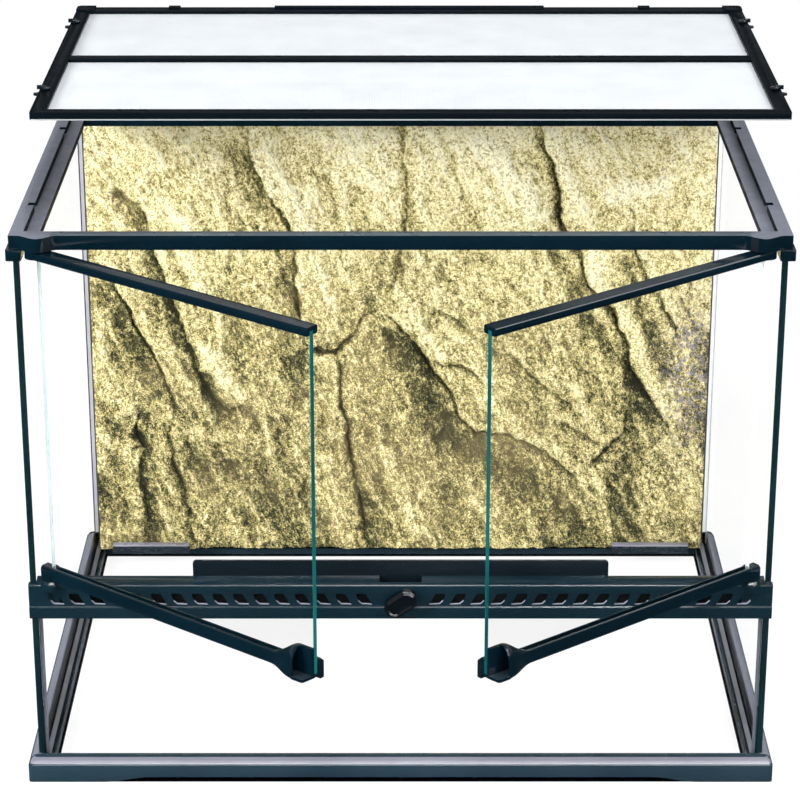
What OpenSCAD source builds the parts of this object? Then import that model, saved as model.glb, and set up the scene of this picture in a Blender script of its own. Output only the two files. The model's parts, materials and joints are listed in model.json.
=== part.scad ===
// Front-opening glass terrarium: glass tank in a moulded base and top frame,
// two hinged doors above a slotted vent beam, a quarter-turn door lock,
// a lift-off mesh lid with four turn latches, and six closable cable inlets.
// Origin: centre of the base footprint, on the floor. +X right, +Y back, +Z up.

/* [Tank] */
// Outside width across the side glasses
glass_w = 596; // [420:1:900]
// Outside depth from the lower front glass to the back glass
glass_d = 445; // [360:1:620]
// Height of the side and back glasses
glass_h = 455; // [380:1:900]
// Height of the lower front glass
front_glass_h = 142; // [90:1:200]
// Thickness of the fixed glasses
glass_t = 5; // [4:0.5:8]
// Thickness of the floor glass
floor_t = 5; // [4:0.5:8]
// Leg of the silicone bead in each inside corner
bead = 3.2; // [2:0.1:5]

/* [Base] */
// How far the base stands out past the front glass
base_front_lip = 12; // [8:0.5:20]
// How far the base stands out past the back glass
base_back_lip = 9; // [6:0.5:20]
// How far the base stands out past each side glass
base_side_lip = 8; // [6:0.5:20]
// Height of the upright skirt
skirt_h = 14.5; // [12:0.5:22]
// Height of the rounded moulding above the skirt
cove_h = 6; // [3:0.5:10]
// Wall of the skirt
skirt_t = 2.8; // [2:0.1:4.5]
// Height of the ledge that carries the glass
ledge_z = 8; // [6:0.5:11]
// Width of the ledge measured inwards from the glass
base_ledge_w = 11; // [8:0.5:30]
// Rise of the arch cut under the front skirt
arch_h = 4.5; // [2:0.5:6]
// Half span of the arch where it meets the floor
arch_reach = 245; // [150:1:280]
// Length of the curved end of the arch
arch_ease = 40; // [15:1:60]

/* [Top frame] */
// How far the frame stands out past the front glass
frame_front_lip = 6; // [4:0.5:10]
// How far the frame stands out past the side and back glasses
frame_lip = 2; // [1.5:0.5:5]
// Height of the frame above its lower edge
frame_h = 11.5; // [10:0.5:18]
// How deep the glass stands in the frame
frame_grip = 4.5; // [3:0.5:5]
// Flat rim outside the lid
rim_w = 10.6; // [9:0.1:16]
// Ledge that carries the lid
lid_ledge_w = 10.6; // [6:0.1:16]
// Depth of the lid recess
lid_recess = 5.5; // [5:0.1:6.5]
// Depth of the thin skirt that hugs the glass below the frame
hug_h = 8; // [4:0.5:14]
// Forward swell of the frame over each door hinge
lobe_out = 8.5; // [5:0.5:12]
// Half length of that swell
lobe_half = 19; // [14:0.5:30]

/* [Doors] */
// Angle that the doors stand open
door_open = 38.5; // [0:0.5:70]
// Distance of each hinge axis from the inside of the side glass
hinge_inset = 12; // [10:0.5:20]
// Distance of the hinge axis behind the front of the frame
hinge_back = 4.5; // [3:0.5:6.5]
// Gap between the two closed doors
door_gap = 5; // [2:0.5:10]
// Thickness of the door glass
door_t = 4; // [3:0.5:5]
// Depth of the top rail
top_rail_d = 13; // [10:0.5:16]
// Height of the top rail
top_rail_h = 6.5; // [5:0.5:12]
// Depth of the bottom rail
low_rail_d = 8; // [7:0.5:12]
// Height of the bottom rail
low_rail_h = 11.5; // [8:0.5:18]
// Radius of the round rail end at the hinge
knuckle_r = 7.5; // [6:0.1:9]
// Radius of the hinge pins
pin_r = 2; // [1.5:0.1:2.5]
// Length of the finger pull along the door
pull_l = 44; // [34:1:70]
// How far the pull stands out from the door glass
pull_out = 12.2; // [10:0.1:20]
// Height of the pull
pull_h = 25; // [20:0.5:36]
// Length of the open corner at the end of the pull
pull_open = 12; // [8:0.5:18]
// Wall of the pull round its hollow
pull_wall = 1.8; // [1.4:0.1:2.6]

/* [Vent beam] */
// Height of the beam's flat lower band
band_h = 11; // [9:0.5:16]
// Height of the slotted face above the band
vent_h = 18.6; // [17:0.2:26]
// Depth of the ledge on top of the beam
beam_ledge_d = 14.6; // [13:0.2:16]
// Rise of that ledge towards the back
beam_ledge_rise = 2.2; // [0:0.1:2.5]
// Wall of the beam
beam_wall = 2.4; // [2:0.1:3]
// Slots on each side of the lock
slot_n = 16; // [4:1:17]
// Width of a slot
slot_w = 7.4; // [4:0.1:9]
// Height of a slot
slot_h = 9.4; // [6:0.1:10]
// Sideways lean of a slot over its height
slot_lean = 5.2; // [0:0.1:6]
// Distance of the first slot from the middle
slot_start = 23; // [20:0.5:32]
// Width of the door stop behind the beam
stop_w = 335; // [120:1:460]
// Height of the door stop above the ledge
stop_up = 13.6; // [8:0.1:20]

/* [Lock] */
// Length of the lock knob
knob_l = 28; // [22:0.5:30]
// Width of the lock knob
knob_w = 17; // [13:0.5:19]
// How far the knob stands out
knob_out = 8; // [5:0.5:14]
// Angle of the knob when unlocked
knob_angle = 35; // [0:1:60]
// Radius of the lock spindle
spindle_r = 4; // [3:0.1:5]

/* [Lid] */
// How high the lid is lifted off its seat
lid_raise = 93; // [0:1:200]
// Sideways offset of the lifted lid
lid_shift = 7.5; // [-9:0.5:9]
// Width of the lid's side rails
lid_side_w = 12.2; // [11.5:0.1:18]
// Width of the lid's front rail
lid_front_w = 12.5; // [11:0.5:22]
// Width of the lid's rear rail
lid_rear_w = 15.5; // [12:0.5:30]
// Width of the lid's crossbar
lid_bar_w = 14; // [9:0.5:20]
// Distance of the front latches from the lid's front edge
latch_front = 69.5; // [45:0.5:100]
// Distance of the rear latches from the lid's rear edge
latch_rear = 57; // [45:0.5:100]
// How far a latch tab stands out past the lid
latch_out = 5; // [3:0.1:5.4]

/* [Cable inlets] */
// Depth of the strip that holds the inlets
strip_d = 84; // [82:1:110]
// Width of each inlet hole
inlet_w = 27; // [16:0.5:34]
// Length of each inlet hole
inlet_l = 24; // [14:0.5:24]
// Distance between inlets
inlet_pitch = 62; // [50:1:68]
// Distance of the outer inlets from the ends of their strip
inlet_end = 57.4; // [30:0.1:60]

/* [Background] */
// Thickness of the foam background
panel_t = 22; // [18:0.5:36]
// Depth of the relief on its face
relief = 12; // [4:0.5:13]
// Width of each background clip
clip_w = 74; // [30:1:90]
// Depth of each background clip
clip_d = 8.4; // [5:0.1:14]
// Height of each background clip
clip_h = 9; // [5:0.5:16]
// Distance of each clip's middle from the side glass
clip_inset = 53; // [48:1:120]

/* [Fit] */
// Radial play of each pin in its hole
play = 0.06; // [0.02:0.01:0.09]
// Gap beside a sliding or lifting part
slide_gap = 0.3; // [0.2:0.05:0.5]
// Gap beside the lid in its recess
lid_gap = 0.9; // [0.8:0.1:1.5]

/* [Hidden] */

$fn = 48;
eps = 0.5;                       // overshoot of a cut past the face it opens

// Plan of the tank
base_d = glass_d + base_front_lip + base_back_lip;
base_w = glass_w + 2 * base_side_lip;
side_x = glass_w / 2;            // outside of a side glass
inner_x = side_x - glass_t;      // inside of a side glass
front_y = -base_d / 2 + base_front_lip;
back_y = base_d / 2 - base_back_lip;
inner_back_y = back_y - glass_t;

// Heights of the glass
glass_top = ledge_z + glass_h;
floor_z = ledge_z + floor_t;
front_glass_top = ledge_z + front_glass_h;

// Top frame
frame_z = glass_top - frame_grip;
frame_top = frame_z + frame_h;
frame_x = side_x + frame_lip;
frame_front = front_y - frame_front_lip;
frame_back = back_y + frame_lip;
lid_seat_z = frame_top - lid_recess;
recess_x = frame_x - rim_w;
front_rail_w = 11;               // flat top of the frame in front of the lid
recess_front = frame_front + front_rail_w;
open_x = recess_x - lid_ledge_w;
front_ledge_w = 9;               // ledge under the lid's front rail
open_front = recess_front + front_ledge_w;
rear_rail_w = 8;
divider_t = 3;                   // wall between the lid and the inlet strip
strip_back = frame_back - rear_rail_w;
strip_front = strip_back - strip_d;
recess_back = strip_front - divider_t;
lid_front = recess_front + lid_gap;
lid_back = recess_back - lid_gap;
open_back = recess_back - lid_ledge_w;
strip_ledge = 6;                 // ledge that carries the inlet strip
hug_start = 12;                  // the skirt starts this far behind the front glass
lobe_shift = 3;                  // swell's middle, inwards of the hinge axis
pin_seat = 6.5;                  // depth of the upper pin's socket

// Doors
hinge_x = inner_x - hinge_inset;
hinge_y = frame_front + hinge_back;
door_l = hinge_x - door_gap / 2; // hinge axis to the free edge
door_top = frame_z - 1;
pull_floor = 2.4;                // thickness of the pull's floor
door_glass_x0 = pin_r + 2;       // glass starts beyond the pin
rail_bite = 3.3;                 // glass depth in each rail
lobe_r = knuckle_r + 1;

// Vent beam
channel_h = 4.3;                 // grip on the lower front glass
beam_z = front_glass_top - channel_h;
beam_front = frame_front;
vent_y = beam_front + 1;         // the slotted face sits 1 mm back
vent_z = beam_z + band_h;
vent_top = vent_z + vent_h;
ledge_back_y = beam_front + beam_ledge_d;
ledge_top = vent_top + beam_ledge_rise;
beam_end = side_x + 1;
web_z = front_glass_top + beam_wall;
slot_z = vent_z + 1.6;           // lower edge of the slots
slot_row_end = hinge_x + 2.1;    // the row ends just past the hinge axis
slot_pitch = (slot_row_end - slot_start - slot_w - slot_lean) / (slot_n - 1);
boss_r = 6.5;                    // solid kept round each lower pin
low_pin_l = 7;                   // lower pin's depth in the beam
door_low = ledge_top + 2.3;      // underside of the bottom rails
pedestal_h = door_low - slide_gap - vent_top;

// Lock
lock_z = vent_z + 4.4;
cam_y = vent_y + beam_wall + 2.6;
cam_t = 2.8;
cam_top = door_low - 1.6;        // flat top of the locked cam
toe_z = cam_top - 1.8;           // lower end of the door catches
cam_slot_x = 17;
stop_t = 2;

// Lid
lid_w = 2 * (recess_x - lid_gap);
lid_h = lid_recess;
lid_x = lid_w / 2;
plate_t = 2.5;                   // top plate of the lid's rails
lid_wall = 1.8;
mesh_t = 0.8;
mesh_lap = 2.9;                  // mesh edge under the rail's top plate
bar_y = (lid_front + lid_back) / 2 - 3;
latch_r = 1.6;
latch_x = lid_x - 4.6;
tab_t = 2;
tab_w = 5;
latch_z = lid_seat_z + 0.8;      // underside of the tab when the lid is seated
pocket_x = lid_x + latch_out + 1;
latch_sweep = 13;                // length of the undercut that a turned tab enters

// Cable inlets
gate_t = 1.8;
gate_w = inlet_w + 10;
gate_l = inlet_l + 6;
gate_travel = inlet_l + 3;
lip_w = 2.5;                     // lip that holds a gate down
strip_t = 5;
strip_z = frame_top - strip_t;
track_z = strip_z + 1.2;
inlet_start = recess_x - inlet_end - 2 * inlet_pitch;
inlet_margin = 8;                // rim behind a closed gate
inlet_y = strip_back - inlet_margin - gate_l / 2;

// Background
panel_y = inner_back_y - panel_t;
panel_x = inner_x - 3;
panel_top = frame_z - 6;
clip_x = inner_x - clip_inset;

NAVY = "#101a22";
BLACK = "#0b0f14";
SLATE = "#2b3a45";
GLASS = [0.75, 0.9, 0.88, 0.35];

// A box given by its two corners
module span(a, b) {
    translate(a) cube([b[0] - a[0], b[1] - a[1], b[2] - a[2]]);
}

// A rectangle between two corners, with round corners
module arc_rect(x0, y0, x1, y1, r, facets = 48) {
    translate([x0 + r, y0]) square([x1 - x0 - 2 * r, y1 - y0]);
    translate([x0, y0 + r]) square([x1 - x0, y1 - y0 - 2 * r]);
    for (x = [x0 + r, x1 - r], y = [y0 + r, y1 - r])
        translate([x, y]) circle(r, $fn = facets);
}

// A shape drawn as [y, z] and drawn out along X
module along_x(x0, x1) {
    translate([x0, 0, 0])
        rotate([90, 0, 90])
            linear_extrude(x1 - x0) children();
}

// Left part and its mirror image
module right_of() {
    mirror([1, 0, 0]) children();
}

// ---------------------------------------------------------------- base

// Front edge of the arch as seen from the front
function arch_points(n = 10) = concat(
    [for (i = [0:n]) [-arch_reach + arch_ease * i / n, arch_h * (1 - cos(180 * i / n)) / 2]],
    [for (i = [n:-1:0]) [arch_reach - arch_ease * i / n, arch_h * (1 - cos(180 * i / n)) / 2]]
);

module base_outline(inset_side, inset_front, inset_back, r) {
    arc_rect(
        -base_w / 2 + inset_side, -base_d / 2 + inset_front,
        base_w / 2 - inset_side, base_d / 2 - inset_back, r, 24
    );
}

// Rounded moulding that rises from the skirt to the glass
module cove() {
    steps = 6;
    translate([0, 0, skirt_h])
        hull()
            for (i = [0:steps]) {
                a = 90 * i / steps;
                rise = cove_h * sin(a);
                run = 1 - cos(a);
                translate([0, 0, rise - (i == 0 ? 0 : 0.02)])
                    linear_extrude(0.02)
                        base_outline(
                            1 + (base_side_lip - 1) * run,
                            1 + (base_front_lip - 1) * run,
                            1 + (base_back_lip - 1) * run, 3
                        );
            }
}

module base_frame() {
    rib_z = 2;
    rib_t = 2;
    ribs_x = 9;
    ribs_y = 7;
    in_x = side_x - base_ledge_w;
    in_front = front_y + base_ledge_w;
    in_back = back_y - base_ledge_w;
    color(SLATE)
    difference() {
        union() {
            linear_extrude(skirt_h)
                arc_rect(-base_w / 2, -base_d / 2, base_w / 2, base_d / 2, 3.5);
            cove();
        }
        // pocket for the glass box
        span([-side_x, front_y, ledge_z], [side_x, back_y, skirt_h + cove_h + eps]);
        // open middle under the floor glass
        span([-in_x, in_front, -eps], [in_x, in_back, skirt_h]);
        // hollow behind the skirt
        difference() {
            span(
                [-base_w / 2 + skirt_t, -base_d / 2 + skirt_t, -eps],
                [base_w / 2 - skirt_t, base_d / 2 - skirt_t, ledge_z - skirt_t]
            );
            // inner wall and ribs that stiffen the ledge
            span(
                [-in_x - skirt_t, in_front - skirt_t, rib_z],
                [in_x + skirt_t, in_back + skirt_t, ledge_z]
            );
            for (i = [1:ribs_x]) {
                x = base_w * (i / (ribs_x + 1) - 0.5);
                span([x - rib_t / 2, -base_d, rib_z], [x + rib_t / 2, base_d, ledge_z]);
            }
            for (i = [1:ribs_y]) {
                y = base_d * (i / (ribs_y + 1) - 0.5);
                span([-base_w, y - rib_t / 2, rib_z], [base_w, y + rib_t / 2, ledge_z]);
            }
        }
        // ribs and inner wall stop above the floor
        span(
            [-base_w / 2 + skirt_t, -base_d / 2 + skirt_t, -eps],
            [base_w / 2 - skirt_t, base_d / 2 - skirt_t, rib_z]
        );
        // arch under the front skirt
        translate([0, -base_d / 2 + skirt_t + eps, 0])
            rotate([90, 0, 0])
                linear_extrude(skirt_t + 2 * eps)
                    polygon(concat(
                        [[-arch_reach, -eps]], arch_points(), [[arch_reach, -eps]]
                    ));
    }
}

// ---------------------------------------------------------------- glass

module floor_glass() {
    color(GLASS)
        span([-inner_x, front_y + glass_t, ledge_z], [inner_x, inner_back_y, floor_z]);
}

module left_side_glass() {
    color(GLASS)
        span([-side_x, front_y, ledge_z], [-inner_x, back_y, glass_top]);
}

module right_side_glass() {
    color(GLASS) right_of() left_side_glass();
}

module back_glass() {
    color(GLASS)
        span([-inner_x, inner_back_y, ledge_z], [inner_x, back_y, glass_top]);
}

module lower_front_glass() {
    color(GLASS)
        span([-inner_x, front_y, ledge_z], [inner_x, front_y + glass_t, front_glass_top]);
}

// One upright bead in the corner at x, y; sx and sy point into the tank
module corner_bead(x, y, sx, sy, z0, z1) {
    translate([x, y, z0])
        linear_extrude(z1 - z0)
            polygon(
                sx * sy > 0
                ? [[0, 0], [sx * bead, 0], [0, sy * bead]]
                : [[0, 0], [0, sy * bead], [sx * bead, 0]]
            );
}

module silicone_seams() {
    y0 = front_y + glass_t;
    color("#15181b") {
        for (s = [-1, 1]) {
            corner_bead(s * inner_x, y0, -s, 1, floor_z, beam_z - slide_gap);
            corner_bead(s * inner_x, inner_back_y, -s, -1, floor_z, frame_z - hug_h - 1);
        }
        // beads along the floor, mitred at the corners by their upright neighbours
        along_x(-inner_x, inner_x)
            polygon([[y0, floor_z], [y0 + bead, floor_z], [y0, floor_z + bead]]);
        along_x(-inner_x, inner_x)
            polygon([
                [inner_back_y, floor_z], [inner_back_y, floor_z + bead],
                [inner_back_y - bead, floor_z]
            ]);
        for (s = [-1, 1])
            translate([0, inner_back_y, 0])
                rotate([90, 0, 0])
                    linear_extrude(inner_back_y - y0)
                        polygon(
                            s > 0
                            ? [[inner_x, floor_z], [inner_x, floor_z + bead],
                               [inner_x - bead, floor_z]]
                            : [[-inner_x, floor_z], [-inner_x + bead, floor_z],
                               [-inner_x, floor_z + bead]]
                        );
    }
}

// ---------------------------------------------------------------- top frame

// Swell of the front edge over a hinge, as [x, y] points from left to right
function lobe_points(x0, y0, half, out, n = 12) = [
    for (i = [-n:n]) [x0 + half * i / n, y0 - out * (1 + cos(180 * i / n)) / 2]
];

module frame_outline() {
    r = 4;
    intersection() {
        polygon(concat(
            [[-frame_x, frame_back], [-frame_x, frame_front]],
            lobe_points(-hinge_x + lobe_shift, frame_front, lobe_half - lobe_shift, lobe_out),
            lobe_points(hinge_x - lobe_shift, frame_front, lobe_half - lobe_shift, lobe_out),
            [[frame_x, frame_front], [frame_x, frame_back]]
        ));
        arc_rect(-frame_x, frame_front - lobe_out, frame_x, frame_back, r);
    }
}

// Pocket in the rim for one latch: open above the tab, undercut beyond it
module latch_pocket(x, y, turn) {
    s = x > 0 ? 1 : -1;
    x0 = s * (recess_x - eps);
    x1 = s * pocket_x;
    half = tab_w / 2 + 0.8;
    span(
        [min(x0, x1), y - half, lid_seat_z],
        [max(x0, x1), y + half, frame_top + eps]
    );
    span(
        [min(x0, x1), min(y, y + turn * latch_sweep), lid_seat_z],
        [max(x0, x1), max(y, y + turn * latch_sweep), latch_z + tab_t + 0.6]
    );
}

module top_frame() {
    color(NAVY)
    difference() {
        union() {
            translate([0, 0, frame_z])
                linear_extrude(frame_h) frame_outline();
            // thin skirt that hugs the glass
            difference() {
                span(
                    [-frame_x, front_y + hug_start, frame_z - hug_h],
                    [frame_x, frame_back, frame_z + eps]
                );
                span(
                    [-inner_x + frame_lip, front_y, frame_z - hug_h - eps],
                    [inner_x - frame_lip, inner_back_y - frame_lip, frame_z + 2 * eps]
                );
            }
        }
        // recess for the lid
        span(
            [-recess_x, recess_front, lid_seat_z],
            [recess_x, recess_back, frame_top + eps]
        );
        // recess for the inlet strip
        span(
            [-recess_x, strip_front, strip_z],
            [recess_x, strip_back, frame_top + eps]
        );
        // opening under the lid and opening under the strip
        span([-open_x, open_front, frame_z - hug_h - 1], [open_x, open_back, frame_top]);
        span(
            [-open_x, strip_front + strip_ledge, frame_z - hug_h - 1],
            [open_x, strip_back - strip_ledge, frame_top]
        );
        // grooves over the side and back glasses
        for (s = [-1, 1])
            span(
                [s > 0 ? inner_x : -side_x, front_y, frame_z - hug_h - eps],
                [s > 0 ? side_x : -inner_x, back_y, glass_top]
            );
        span(
            [-side_x, inner_back_y, frame_z - hug_h - eps],
            [side_x, back_y, glass_top]
        );
        // sockets for the upper hinge pins
        for (s = [-1, 1])
            translate([s * hinge_x, hinge_y, frame_z - eps])
                cylinder(r = pin_r + play, h = pin_seat + eps);
        for (s = [-1, 1]) {
            latch_pocket(s * lid_x, lid_front + latch_front, 1);
            latch_pocket(s * lid_x, lid_back - latch_rear, -1);
        }
    }
}

// Positions of the inlets from left to right
function inlet_xs() = [for (s = [-1, 1], i = [0:2]) s * (inlet_start + i * inlet_pitch)];

module rear_inlet_strip() {
    track_front = inlet_y - gate_l / 2 - gate_travel - 1;
    track_back = inlet_y + gate_l / 2 + slide_gap;
    color(BLACK)
    difference() {
        span([-recess_x, strip_front, strip_z], [recess_x, strip_back, frame_top]);
        for (x = inlet_xs()) {
            // hole for the cable
            span(
                [x - inlet_w / 2, inlet_y - inlet_l / 2, strip_z - eps],
                [x + inlet_w / 2, inlet_y + inlet_l / 2, frame_top + eps]
            );
            // track for the gate and the opening above it
            span(
                [x - gate_w / 2 - slide_gap, track_front, track_z],
                [x + gate_w / 2 + slide_gap, track_back, track_z + gate_t + 2 * slide_gap]
            );
            span(
                [x - gate_w / 2 + lip_w, track_front, track_z],
                [x + gate_w / 2 - lip_w, track_back, frame_top + eps]
            );
        }
    }
}

// A gate at its open end of travel
module gate(x) {
    y = inlet_y - gate_travel;
    z = track_z + slide_gap;
    color(SLATE) {
        span([x - gate_w / 2, y - gate_l / 2, z], [x + gate_w / 2, y + gate_l / 2, z + gate_t]);
        // finger ridges
        for (i = [-1:1])
            span(
                [x - gate_w / 2 + lip_w + 3, y + 3 * i - 0.8, z + gate_t],
                [x + gate_w / 2 - lip_w - 3, y + 3 * i + 0.8, frame_top + 0.6]
            );
    }
}

module left_inner_gate() { color(SLATE) gate(-inlet_start); }
module left_middle_gate() { color(SLATE) gate(-inlet_start - inlet_pitch); }
module left_outer_gate() { color(SLATE) gate(-inlet_start - 2 * inlet_pitch); }
module right_inner_gate() { color(SLATE) gate(inlet_start); }
module right_middle_gate() { color(SLATE) gate(inlet_start + inlet_pitch); }
module right_outer_gate() { color(SLATE) gate(inlet_start + 2 * inlet_pitch); }

// Block that grips the front corner of a side glass under the frame
module left_corner_clip() {
    z0 = frame_z - 8.5;
    side_out = 4.7;
    front_out = 2.2;
    grip = 2.4;
    color(NAVY)
    difference() {
        translate([0, 0, z0])
            linear_extrude(frame_z - z0)
                arc_rect(
                    -side_x - side_out, frame_front - front_out,
                    -inner_x + grip, front_y + hug_start - 0.5, grip - 0.2
                );
        span([-side_x, front_y, z0 - eps], [-inner_x, back_y, frame_z + eps]);
    }
}

module right_corner_clip() {
    color(NAVY) right_of() left_corner_clip();
}

// ---------------------------------------------------------------- vent beam

// Outline of one slot on the left half: leans to the right going down
module slot_shape() {
    polygon([
        [0, slot_h], [slot_w, slot_h], [slot_w + slot_lean, 0],
        [slot_lean * 0.85, 0.3], [slot_lean * 0.3, slot_h * 0.32],
        [0, slot_h * 0.75]
    ]);
}

module vent_beam() {
    wall_back = ledge_back_y;
    color(NAVY)
    difference() {
        union() {
            along_x(-beam_end, beam_end)
                polygon([
                    [beam_front, beam_z + 0.8], [beam_front, vent_z - 1],
                    [vent_y, vent_z], [vent_y, vent_top - 0.8],
                    [vent_y + 0.8, vent_top], [wall_back, ledge_top],
                    [wall_back, beam_z], [beam_front + 0.8, beam_z]
                ]);
            // swell and cone that carry each lower hinge
            for (s = [-1, 1]) {
                translate([s * hinge_x, hinge_y, vent_top - 4])
                    cylinder(r = lobe_r, h = 4);
                translate([s * hinge_x, hinge_y, vent_top])
                    cylinder(r1 = lobe_r, r2 = knuckle_r - 1, h = pedestal_h);
            }
        }
        // hollow
        for (s = [-1, 1])
            along_x(
                s > 0 ? cam_slot_x + 3 : -hinge_x + boss_r,
                s > 0 ? hinge_x - boss_r : -cam_slot_x - 3
            )
                polygon([
                    [vent_y + beam_wall, web_z], [vent_y + beam_wall, vent_top - beam_wall],
                    [wall_back - beam_wall, ledge_top - beam_wall - 0.4],
                    [wall_back - beam_wall, web_z]
                ]);
        // chamber for the lock cam, open above and behind
        along_x(-cam_slot_x - 2, cam_slot_x + 2)
            polygon([
                [vent_y + beam_wall, web_z], [vent_y + beam_wall, vent_top - beam_wall],
                [wall_back - beam_wall, ledge_top - beam_wall - 0.4],
                [wall_back - beam_wall, web_z]
            ]);
        span(
            [-cam_slot_x, cam_y - 0.6, lock_z],
            [cam_slot_x, wall_back + eps, ledge_top + eps]
        );
        // channel for the lower front glass
        span([-inner_x, front_y, beam_z - eps], [inner_x, front_y + glass_t, front_glass_top]);
        // room for the side glasses
        for (s = [-1, 1])
            span(
                [s > 0 ? inner_x : -beam_end - eps, front_y, beam_z - eps],
                [s > 0 ? beam_end + eps : -inner_x, wall_back + eps, ledge_top + pedestal_h]
            );
        // vent slots, mirrored about the lock
        for (s = [0, 1])
            mirror([s, 0, 0])
                for (i = [0:slot_n - 1])
                    translate([
                        -slot_start - slot_w - slot_lean - i * slot_pitch,
                        vent_y + beam_wall + eps / 2, slot_z
                    ])
                        rotate([90, 0, 0])
                            linear_extrude(beam_wall + eps) slot_shape();
        // air windows in the back wall
        for (s = [0, 1])
            mirror([s, 0, 0])
                span(
                    [-hinge_x + 14, wall_back - beam_wall - eps, web_z + 3],
                    [-cam_slot_x - 8, wall_back + eps, vent_top - 5]
                );
        // bore for the lock spindle
        translate([0, vent_y - eps, lock_z])
            rotate([-90, 0, 0])
                cylinder(r = spindle_r + play, h = beam_wall + 2 * eps);
        // sockets for the lower hinge pins
        for (s = [-1, 1])
            translate([s * hinge_x, hinge_y, vent_top - low_pin_l - 0.5])
                cylinder(r = pin_r + play, h = low_pin_l + 0.5 + pedestal_h + eps);
    }
}

// Fine mesh strips inside the beam, against its back wall
module vent_screens() {
    y = ledge_back_y - beam_wall;
    color("#8d959a")
        for (s = [0, 1])
            mirror([s, 0, 0])
                span(
                    [-hinge_x + 10, y - 0.6, web_z + 1],
                    [-cam_slot_x - 4, y, vent_top - 3.6]
                );
}

// Upright fence behind the beam that the closed doors meet
module door_stop() {
    y = ledge_back_y;
    r = 3.3;
    z1 = ledge_top + stop_up;
    color(BLACK)
    translate([0, y + stop_t, 0])
        rotate([90, 0, 0])
            linear_extrude(stop_t)
                difference() {
                    union() {
                        translate([-stop_w / 2, beam_z])
                            square([stop_w, z1 - beam_z - r]);
                        translate([-stop_w / 2 + r, beam_z])
                            square([stop_w - 2 * r, z1 - beam_z]);
                        for (s = [-1, 1])
                            translate([s * (stop_w / 2 - r), z1 - r]) circle(r);
                    }
                    for (s = [0, 1])
                        mirror([s, 0])
                            translate([-stop_w / 2 + 8, web_z + 3])
                                square([stop_w / 2 - 16 - cam_slot_x, vent_top - web_z - 8]);
                }
}

// ---------------------------------------------------------------- background

// Height of the rock relief at a place on the panel, 0 to 1
function rock(x, z) =
    let (
        a = sin(x * 1.7 + 60 * sin(z * 1.1)),
        b = sin(z * 2.3 + 80 * sin(x * 0.9 + 40)),
        c = sin((x + z) * 3.1) * sin((x - 1.4 * z) * 2.2)
    )
    0.5 + 0.22 * a + 0.2 * b + 0.08 * c;

module background_panel() {
    nx = 22;
    nz = 14;
    z0 = floor_z + slide_gap;
    yb = inner_back_y - bead - slide_gap;
    px = function (i) -panel_x + 2 * panel_x * i / nx;
    pz = function (k) z0 + (panel_top - z0) * k / nz;
    // each row is a ring: the rock face from left to right, then the flat back
    rows = [
        for (k = [0:nz])
            concat(
                [for (i = [0:nx])
                    [px(i), panel_y + relief * (1 - rock(px(i), pz(k))), pz(k)]],
                [for (i = [nx:-1:0]) [px(i), yb, pz(k)]]
            )
    ];
    m = 2 * (nx + 1);
    top = nz * m;
    color("#d9cfa6")
    polyhedron(
        [for (r = rows) for (p = r) p],
        concat(
            [for (k = [0:nz - 1], j = [0:m - 1])
                [k * m + j, (k + 1) * m + (j + 1) % m, k * m + (j + 1) % m]],
            [for (k = [0:nz - 1], j = [0:m - 1])
                [k * m + j, (k + 1) * m + j, (k + 1) * m + (j + 1) % m]],
            [for (i = [0:nx - 1]) [i, i + 1, m - 2 - i]],
            [for (i = [0:nx - 1]) [i, m - 2 - i, m - 1 - i]],
            [for (i = [0:nx - 1]) [top + i, top + m - 2 - i, top + i + 1]],
            [for (i = [0:nx - 1]) [top + i, top + m - 1 - i, top + m - 2 - i]]
        )
    );
}

// Ledge-shaped clip at the foot of the background
module left_background_clip() {
    color("#2c3238")
        along_x(-clip_x - clip_w / 2, -clip_x + clip_w / 2)
            polygon([
                [panel_y - clip_d, floor_z], [panel_y - clip_d, floor_z + clip_h - 1],
                [panel_y - clip_d + 1, floor_z + clip_h], [panel_y - slide_gap, floor_z + clip_h],
                [panel_y - slide_gap, floor_z]
            ]);
}

module right_background_clip() {
    color("#2c3238") right_of() left_background_clip();
}

// ---------------------------------------------------------------- doors

// Places a part drawn for a closed left door; x runs from the hinge axis
module on_left_door() {
    translate([-hinge_x, hinge_y, 0])
        rotate([0, 0, -door_open]) children();
}

module left_door_glass() {
    color(GLASS)
        on_left_door()
            span(
                [door_glass_x0, -door_t / 2, door_low + 3],
                [door_l, door_t / 2, door_top - top_rail_h + rail_bite]
            );
}

module left_door_top_rail() {
    z0 = door_top - top_rail_h;
    h = top_rail_d / 2;
    c = 0.9;
    color(NAVY)
        on_left_door()
            difference() {
                union() {
                    along_x(0, door_l)
                        polygon([
                            [-h, z0 + c], [-h, door_top - c], [-h + c, door_top],
                            [h - c, door_top], [h, door_top - c], [h, z0 + c],
                            [h - c, z0], [-h + c, z0]
                        ]);
                    translate([0, 0, z0]) cylinder(r = knuckle_r, h = top_rail_h);
                }
                span(
                    [door_glass_x0, -door_t / 2, z0 - eps],
                    [door_l + eps, door_t / 2, z0 + rail_bite]
                );
                translate([0, 0, z0 + 1]) cylinder(r = pin_r, h = top_rail_h);
            }
}

// Smooth step from 0 to 1
function ease(t) = t <= 0 ? 0 : t >= 1 ? 1 : (1 - cos(180 * t)) / 2;

// Reach of the pull's front face from the middle of the door glass
function pull_front(t) =
    low_rail_d / 2 + (door_t / 2 + pull_out - low_rail_d / 2) * ease(t);

// Height of the pull
function pull_top(t) = low_rail_h + (pull_h - low_rail_h) * ease(pow(t, 1.25));

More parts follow.
